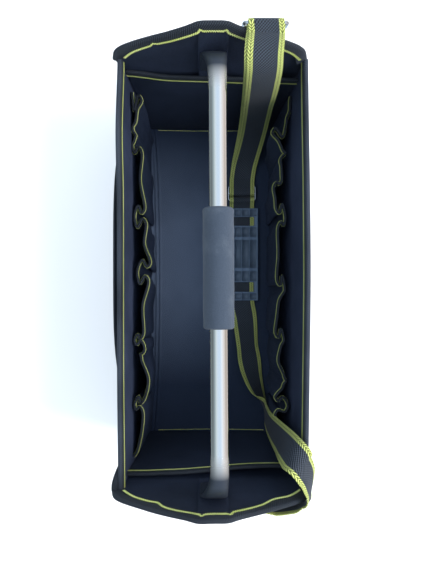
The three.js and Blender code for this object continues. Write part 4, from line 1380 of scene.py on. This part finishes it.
def add_grip():
    """Foam sleeve, a little fuller in the middle and rolled in at its ends."""
    radius, half = GRIP_DIAMETER / 2, GRIP_LENGTH / 2
    bore = TUBE_DIAMETER / 2 + 0.3
    edge = 3.2
    profile = [(bore, -half + 2)]
    for k in range(9):
        angle = k / 8 * math.pi / 2
        profile.append((radius - edge * (1 - math.sin(angle)), -half + edge * (1 - math.cos(angle))))
    for k in range(1, 30):
        share = k / 30
        waist = radius - 0.25 * math.cos(share * 2 * math.pi) ** 2
        profile.append((waist, lerp(-half + edge, half - edge, share)))
    for k in range(9):
        angle = (1 - k / 8) * math.pi / 2
        profile.append((radius - edge * (1 - math.sin(angle)), half - edge * (1 - math.cos(angle))))
    profile.append((bore, half - 2))
    body = Body()
    axis = Vector((-TUBE_SKEW, HALF_LENGTH - TUBE_BEND, 0)).normalized()
    lathe(body, profile, Vector((TUBE_LEAN, GRIP_SHIFT, TUBE_HEIGHT)), axis, 64)
    wrinkle = WRINKLES["foam"]
    for p in body.points:
        spoke = Vector((p.x - TUBE_LEAN, 0, p.z - TUBE_HEIGHT))
        if spoke.length > bore + 1:
            p += spoke.normalized() * wrinkle["deep"] * ripple(p, wrinkle["size"], 3)
    grip = body.make("grip", "foam", ["foam_grip"], 60)


# Strap, its rings, tabs, slider and pad

LAYER_STEP = STRAP_THICKNESS + CLEARANCE * 2
WRAP_RADIUS = RING_WIRE / 2 + CLEARANCE * 2 + STRAP_THICKNESS / 2
LOOP_RADIUS = math.hypot(SLIDER_BAR, SLIDER_THICKNESS) / 2 + CLEARANCE + STRAP_THICKNESS / 2
STRAP_ON_FLOOR = FLOOR_TOP + CLEARANCE + STRAP_THICKNESS / 2
SLIDER_MIDDLE = STRAP_ON_FLOOR + STRAP_THICKNESS + CLEARANCE + LOOP_RADIUS
OVER_SLIDER = SLIDER_MIDDLE + SLIDER_THICKNESS / 2 + CLEARANCE + STRAP_THICKNESS / 2
STRAP_X = HALF_WIDTH * 0.5


def far_ring():
    place = HALF_LENGTH + END_LEAN + FAR_RING_STAND
    lean = math.radians(FAR_RING_LEAN)
    return {
        "bar": Vector((HALF_WIDTH * FAR_RING_ACROSS, place, PEAK_HEIGHT - FAR_RING_DROP)),
        "away": Vector((0, -math.sin(lean), math.cos(lean))),
        "across": Vector((1, 0, 0)),
        "out": Vector((0, math.cos(lean), math.sin(lean))),
    }


def near_ring():
    place = end_inner(EAR_HEIGHT) + PANEL + BINDING + NEAR_RING_STAND
    tilt = math.radians(NEAR_RING_TILT)
    return {
        "bar": Vector((HALF_WIDTH * NEAR_RING_ACROSS, -place, EAR_HEIGHT - NEAR_RING_DROP)),
        "away": Vector((math.cos(tilt), 0, math.sin(tilt))),
        "across": Vector((-math.sin(tilt), 0, math.cos(tilt))),
        "out": Vector((0, -1, 0)),
    }


def wire_loop(body, middle, across, away, out, half_across, half_away, corner, wire_out, wire_in):
    """A rounded rectangle of wire; wire_in lies in its plane and wire_out stands off it."""
    steps, sides = 8, 16
    rings = []
    for quarter in range(4):
        sign_a = 1 if quarter in (0, 3) else -1
        sign_b = 1 if quarter < 2 else -1
        for i in range(steps + 1):
            angle = (quarter + i / steps) * math.pi / 2
            a = sign_a * (half_across - corner) + corner * math.cos(angle)
            b = sign_b * (half_away - corner) + corner * math.sin(angle)
            facing = across * math.cos(angle) + away * math.sin(angle)
            place = middle + across * a + away * b
            ring = []
            for turn in turns(sides):
                ring.append(place + facing * math.cos(turn) * wire_in + out * math.sin(turn) * wire_out)
            rings.append(ring)
    body.loft(rings, range(sides), range(len(rings)), closed=True)


def add_rings():
    for end, ring in (("far", far_ring()), ("near", near_ring())):
        body = Body()
        middle = ring["bar"] - ring["away"] * RING_BAR_SPACING / 2
        wire_loop(body, middle, ring["across"], ring["away"], ring["out"],
                  (RING_OPENING + RING_WIRE) / 2, RING_BAR_SPACING / 2, 4, RING_WIRE / 2, RING_WIRE / 2)
        body.make(f"ring_{end}", "plated", [f"strap_ring_{end}"], 80)


def wrap(bar, towards, side, wide, radius):
    """Half a turn of webbing round a bar."""
    steps = 12
    found = []
    for i in range(steps + 1):
        angle = i / steps * math.pi
        place = bar + side * math.cos(angle) * radius + towards * math.sin(angle) * radius
        found.append({"place": place, "wide": wide})
    return found


def ribbon(body, stations, width, thickness):
    """Webbing through stations: a flat section with soft edges, v running across it."""
    half, thin = width / 2, thickness / 2
    columns = 18
    top = [lerp(-1, 1, k / columns) for k in range(columns + 1)]
    rings = []
    for i, s in enumerate(stations):
        a, b = stations[max(0, i - 1)]["place"], stations[min(len(stations) - 1, i + 1)]["place"]
        tangent = (b - a).normalized()
        wide = (s["wide"] - tangent * s["wide"].dot(tangent)).normalized()
        thick = tangent.cross(wide).normalized()
        ring = []
        for side, places in ((1, top), (-1, top[::-1])):
            for share in places:
                edge = 0.55 + 0.45 * math.sqrt(max(0, 1 - abs(share) ** 14))
                rise = side * thin * edge
                ring.append(s["place"] + wide * share * half + thick * rise)
        rings.append(ring)
    around = [t * half for t in top] + [t * half for t in top[::-1]]
    body.loft(rings, around, lengths_along([s["place"] for s in stations]))


def refined(stations, steps):
    places = catmull([s["place"] for s in stations], steps)
    wides = catmull([s["wide"] for s in stations], steps, 0)
    return [{"place": p, "wide": w.normalized()} for p, w in zip(places, wides)]


def layer(stations, side):
    """One layer of the doubled strap, side -1 below and 1 above, a little to one side of the other."""
    found = []
    for i, s in enumerate(stations):
        a, b = stations[max(0, i - 1)]["place"], stations[min(len(stations) - 1, i + 1)]["place"]
        normal = s["wide"].cross((b - a).normalized()).normalized()
        apart = smooth(0, 0.3, i / (len(stations) - 1))
        place = s["place"] + normal * side * LAYER_STEP / 2 + s["wide"] * side * apart * LAYER_SHIFT / 2
        found.append({"place": place, "wide": s["wide"]})
    return found


def route_point(row, end):
    y = SIGN[end] * (row["along"] * HALF_LENGTH + row["lean"] * END_LEAN)
    return Vector((row["across"] * HALF_WIDTH, y, FLOOR_TOP + row["up"] * PEAK_HEIGHT))


def strap_stations():
    wide = Vector((1, 0, 0))

    def at(y, z, x=STRAP_X):
        return {"place": Vector((x, y, z)), "wide": wide}

    near = near_ring()
    inner = -near["out"]
    near_wrap = wrap(near["bar"], -near["away"], inner, near["across"], WRAP_RADIUS)
    tail = [
        {"place": near["bar"] + near["away"] * distance + inner * WRAP_RADIUS, "wide": near["across"]}
        for distance in (22, 12)
    ]
    single = [
        {"place": route_point(row, "near"), "wide": Vector(row["wide"]).normalized()} for row in SINGLE_ROUTE
    ]
    tunnel = FLOOR_TOP + CLEARANCE + PAD_THICKNESS / 2
    pad = [at(PAD_END - PAD_LENGTH, tunnel, PAD_PLACE), at(PAD_END, tunnel, PAD_PLACE)]
    near_bar = SLIDER_PLACE - SLIDER_LENGTH / 2 + SLIDER_BAR / 2
    slot_end = near_bar + SLIDER_BAR / 2
    slot_length = (SLIDER_LENGTH - 3 * SLIDER_BAR) / 2
    drop = OVER_SLIDER - STRAP_ON_FLOOR
    slider = [
        at(near_bar - SLIDER_BAR * 2, tunnel + 1),
        at(near_bar - SLIDER_BAR, OVER_SLIDER - drop * 0.06),
        at(near_bar, OVER_SLIDER),
        *(
            at(slot_end + dip["past"] * slot_length, STRAP_ON_FLOOR + drop * dip["height"])
            for dip in SLIDER_DIP
        ),
        at(SLIDER_PLACE + SLIDER_LENGTH / 2, STRAP_ON_FLOOR),
    ]
    far = far_ring()
    doubled = refined([{"place": route_point(row, "far"), "wide": wide} for row in DOUBLED_ROUTE], 8)
    below = layer(doubled, -1)
    above = layer(doubled, 1)[::-1]
    far_wrap = wrap(far["bar"], far["out"], -far["away"], wide, WRAP_RADIUS)
    bar_place = Vector((STRAP_X, SLIDER_PLACE, SLIDER_MIDDLE))
    bar_wrap = wrap(bar_place, Vector((0, -1, 0)), Vector((0, 0, 1)), wide, LOOP_RADIUS)
    tail_on_slider = at(SLIDER_PLACE + SLIDER_LENGTH / 2 + 6, SLIDER_MIDDLE - LOOP_RADIUS)
    onto_slider = at(SLIDER_PLACE + SLIDER_LENGTH / 2 + 1.5, OVER_SLIDER)
    return (
        tail + near_wrap + refined(single + pad, 8) + refined(slider, 3) + below + far_wrap + above
        + [onto_slider] + bar_wrap + [tail_on_slider]
    )


def add_strap():
    body = Body()
    ribbon(body, strap_stations(), STRAP_WIDTH, STRAP_THICKNESS)
    body.make("strap", "strap", ["shoulder_strap"], 70)


def add_tab(end, ring):
    bar = ring["bar"] - ring["away"] * RING_BAR_SPACING
    shares = [0.1, 0.2, 0.3, 0.45, 0.6, 0.7, 0.85, 1]

    def sewn(share, over):
        place = bar - ring["away"] * share * TAB_LENGTH
        highest = place.z + abs(ring["across"].z) * STRAP_WIDTH / 2
        outside = end_inner(highest) + PANEL + BINDING + 4 * CLEARANCE
        face = outside + STRAP_THICKNESS / 2 + over * LAYER_STEP
        hung = SIGN[end] * bar.y + (2 * over - 1) * WRAP_RADIUS
        place.y = SIGN[end] * lerp(hung, face, smooth(0.1, 0.7, share))
        return {"place": place, "wide": ring["across"]}

    stations = [sewn(share, 0) for share in reversed(shares)]
    stations += wrap(bar, ring["away"], -ring["out"], ring["across"], WRAP_RADIUS)
    stations += [sewn(share, 1) for share in shares]
    body = Body()
    ribbon(body, stations, STRAP_WIDTH, STRAP_THICKNESS)
    body.make(f"tab_{end}", "strap", [f"strap_tab_{end}"], 70)


def add_slider():
    body = Body()
    middle = Vector((STRAP_X, SLIDER_PLACE, SLIDER_MIDDLE))
    across, along, up = Vector((1, 0, 0)), Vector((0, 1, 0)), Vector((0, 0, 1))
    half_across = (STRAP_WIDTH + 4 * CLEARANCE + SLIDER_BAR) / 2
    half_along = (SLIDER_LENGTH - SLIDER_BAR) / 2
    wire_loop(
        body, middle, across, along, up, half_across, half_along, 3, SLIDER_THICKNESS / 2, SLIDER_BAR / 2
    )
    sides = 16
    rings = []
    for x in (-half_across, half_across):
        ring = []
        for turn in turns(sides):
            offset = along * math.cos(turn) * SLIDER_BAR / 2 + up * math.sin(turn) * SLIDER_THICKNESS / 2
            ring.append(middle + across * x + offset * 0.98)
        rings.append(ring)
    body.loft(rings, range(sides), [0, 40])
    body.make("slider", "plated", ["strap_slider"], 80)


def add_pad():
    """The sleeve's top is a grid of bars with sunk cells; its windows show the webbing."""
    half = PAD_WIDTH / 2
    window_half = PAD_WINDOW_WIDTH / 2
    base = FLOOR_TOP + CLEARANCE
    wall = (PAD_THICKNESS - PAD_TUNNEL) / 2
    cell = [-2 * PAD_CELL_PITCH, -PAD_CELL_PITCH, 0, PAD_CELL_PITCH, 2 * PAD_CELL_PITCH]
    xs = sorted({-half, half, -window_half, window_half}
                | {x + s * PAD_BORDER / 2 for x in cell for s in (-1, 1)})
    ys = [0] + [band["until"] for band in PAD_BANDS]

    def level(x, y):
        kind = next(band["kind"] for band in PAD_BANDS if y < band["until"])
        if kind == "window":
            return None if abs(x) < window_half else 0.0
        on_line = any(abs(x - line) < PAD_BORDER / 2 for line in cell)
        if kind == "cells" and not on_line and abs(x) < 2 * PAD_CELL_PITCH:
            return -PAD_CELL_DEPTH
        return 0.0

    body = Body()

    def corner(x, y, z):
        body.points.append(Vector((PAD_PLACE + x, PAD_END - y, base + z)))
        body.uvs.append((y, x))
        return len(body.points) - 1

    def quad(*corners):
        body.faces.append(tuple(corner(*c) for c in corners))

    def surface(top, other, flip):
        """One skin of the sleeve: its outer face by level(), closed by other."""
        spans_x, spans_y = list(zip(xs, xs[1:])), list(zip(ys, ys[1:]))
        grid = [
            [level((a + b) / 2, (c + d) / 2) if flip > 0 else 0.0 for c, d in spans_y]
            for a, b in spans_x
        ]

        def height(i, j):
            inside = 0 <= i < len(spans_x) and 0 <= j < len(spans_y)
            if not inside or grid[i][j] is None:
                return other
            return top + grid[i][j]

        for i, (x0, x1) in enumerate(spans_x):
            for j, (y0, y1) in enumerate(spans_y):
                z = height(i, j)
                if grid[i][j] is not None:
                    quad((x0, y0, z), (x1, y0, z), (x1, y1, z), (x0, y1, z))
                    quad((x0, y0, other), (x0, y1, other), (x1, y1, other), (x1, y0, other))
                for di, dj, p, q in ((-1, 0, (x0, y0), (x0, y1)), (1, 0, (x1, y0), (x1, y1)),
                                     (0, -1, (x0, y0), (x1, y0)), (0, 1, (x0, y1), (x1, y1))):
                    near = height(i + di, j + dj)
                    if (z - near) * flip > 1e-6 and grid[i][j] is not None:
                        quad((*p, z), (*q, z), (*q, near), (*p, near))

    roof = PAD_THICKNESS - wall
    surface(PAD_THICKNESS, roof, 1)
    surface(0, wall, -1)
    for side in (-1, 1):
        inner, outer = side * (half - PAD_SIDE), side * half
        for x in (inner, outer):
            quad((x, 0, wall), (x, PAD_LENGTH, wall), (x, PAD_LENGTH, roof), (x, 0, roof))
        for y in (0, PAD_LENGTH):
            quad((inner, y, wall), (outer, y, wall), (outer, y, roof), (inner, y, roof))
    pad = body.make("pad", "moulded", ["shoulder_pad"], 30)
    face_outwards(pad.data, weld=1e-6)


# Pocket on the left outside

def outer_pocket_surface(u, v):
    y = lerp(OUTER_POCKET_START, OUTER_POCKET_END, u)
    z = lerp(OUTER_POCKET_FOOT, OUTER_POCKET_HEIGHT, v)
    across = 2 * u - 1
    gape = OUTER_POCKET_GAPE * v**1.3 * (1 - across**4)
    out = side_inner("left", y, z) + PANEL + CLEARANCE * 2 + POCKET_BINDING
    return Vector((-(out + POCKET_CLOTH / 2 + gape), y, z))


def add_outer_pocket():
    sheet("outer_pouch", "outer_pocket", outer_pocket_surface, 60, 24, POCKET_CLOTH, "twill")
    stations = edge_stations(outer_pocket_surface, 90)
    look = (POCKET_CLOTH, POCKET_BINDING, POCKET_BINDING_DEPTH)
    bound("outer_pouch_edge", "outer_pocket_edge", stations, *look)
    aside = POCKET_CLOTH / 2 + POCKET_BINDING + POCKET_STITCH_STAND
    stitched("outer_pouch_stitch", stations, aside, POCKET_BINDING_DEPTH - 2.2, POUCH_STITCH_SWING)


# Floor, lights and camera

def add_stage():
    n = Nodes("pale_floor")
    grain = n.cloud(3, 3)
    n.set(Base_Color=n.mix(grain, (0.9, 0.9, 0.9, 1), (0.93, 0.93, 0.93, 1)), Roughness=0.9,
          Emission_Color=(1, 1, 1, 1), Emission_Strength=0.24)
    mesh = bpy.data.meshes.new("ground")
    size, below = 6, -0.0004
    mesh.from_pydata([(-size, -size, below), (size, -size, below), (size, size, below), (-size, size, below)],
                     [], [(0, 1, 2, 3)])
    mesh.materials.append(n.material)
    ground = placed("ground", mesh)
    ground.visible_glossy = False


def add_light(name, place, target, size, power, colour):
    data = bpy.data.lights.new(name, "AREA")
    data.shape = "RECTANGLE"
    data.size, data.size_y = size
    data.energy = power
    data.color = colour
    lamp = placed(name, data)
    lamp.location = place
    lamp.rotation_euler = (Vector(target) - Vector(place)).to_track_quat("-Z", "Y").to_euler()
    lamp.visible_glossy = False


# The studio's colour by direction, from -1 at the left to 1 at the right, as it looks on screen
SKY = [
    (-1.0, (96, 106, 110)),
    (-0.87, (132, 147, 156)),
    (-0.73, (160, 178, 186)),
    (-0.57, (198, 214, 222)),
    (-0.39, (206, 224, 240)),
    (0.0, (200, 222, 246)),
    (0.25, (206, 226, 248)),
    (0.48, (232, 242, 255)),
    (0.73, (222, 224, 228)),
    (0.87, (218, 213, 214)),
    (0.96, (194, 187, 183)),
    (1.0, (166, 158, 151)),
]


def add_lights():
    world = bpy.data.worlds.new("studio")
    world.use_nodes = True
    bpy.context.scene.world = world
    nodes, links = world.node_tree.nodes, world.node_tree.links
    background = nodes["Background"]
    coordinates = nodes.new("ShaderNodeTexCoord")
    split = nodes.new("ShaderNodeSeparateXYZ")
    sky = nodes.new("ShaderNodeValToRGB")
    links.new(coordinates.outputs["Generated"], split.inputs[0])
    shift = nodes.new("ShaderNodeMapRange")
    shift.inputs["From Min"].default_value = -1
    links.new(split.outputs[0], shift.inputs["Value"])
    links.new(shift.outputs[0], sky.inputs[0])
    while len(sky.color_ramp.elements) < len(SKY):
        sky.color_ramp.elements.new(1.0)
    for element, (place, colour) in zip(sky.color_ramp.elements, SKY):
        element.position = (place + 1) / 2
        element.color = tint(*colour)
    links.new(sky.outputs[0], background.inputs[0])
    background.inputs[1].default_value = 1.05
    add_light("key", (1.6, -0.25, 1.6), (0, 0, 0.15), (1.2, 1.6), 68, (1.0, 0.98, 0.95))
    add_light("fill", (-0.9, 0.3, 2.2), (0, 0, 0.15), (1.0, 1.6), 16, (0.88, 0.94, 1.0))


def add_camera():
    data = bpy.data.cameras.new("camera")
    data.sensor_fit = "VERTICAL"
    data.sensor_height = SENSOR
    data.lens = FOCAL_PIXELS / PHOTO_HEIGHT * SENSOR
    data.shift_x = (PHOTO_WIDTH / 2 - NADIR_PIXEL[0]) / PHOTO_HEIGHT
    data.shift_y = (NADIR_PIXEL[1] - PHOTO_HEIGHT / 2) / PHOTO_HEIGHT
    data.clip_start, data.clip_end = 0.02, 20
    camera = placed("camera", data)
    camera.location = [c * MM for c in CAMERA_PLACE]
    bpy.context.scene.camera = camera


bpy.context.scene.view_settings.view_transform = "Standard"
add_camera()
add_lights()
add_stage()
add_base()
add_floor()
add_walls()
add_end_pockets()
add_side_pockets()
add_patches()
add_handle()
add_rivets()
add_grip()
add_rings()
add_strap()
add_tab("far", far_ring())
add_tab("near", near_ring())
add_slider()
add_pad()
add_outer_pocket()
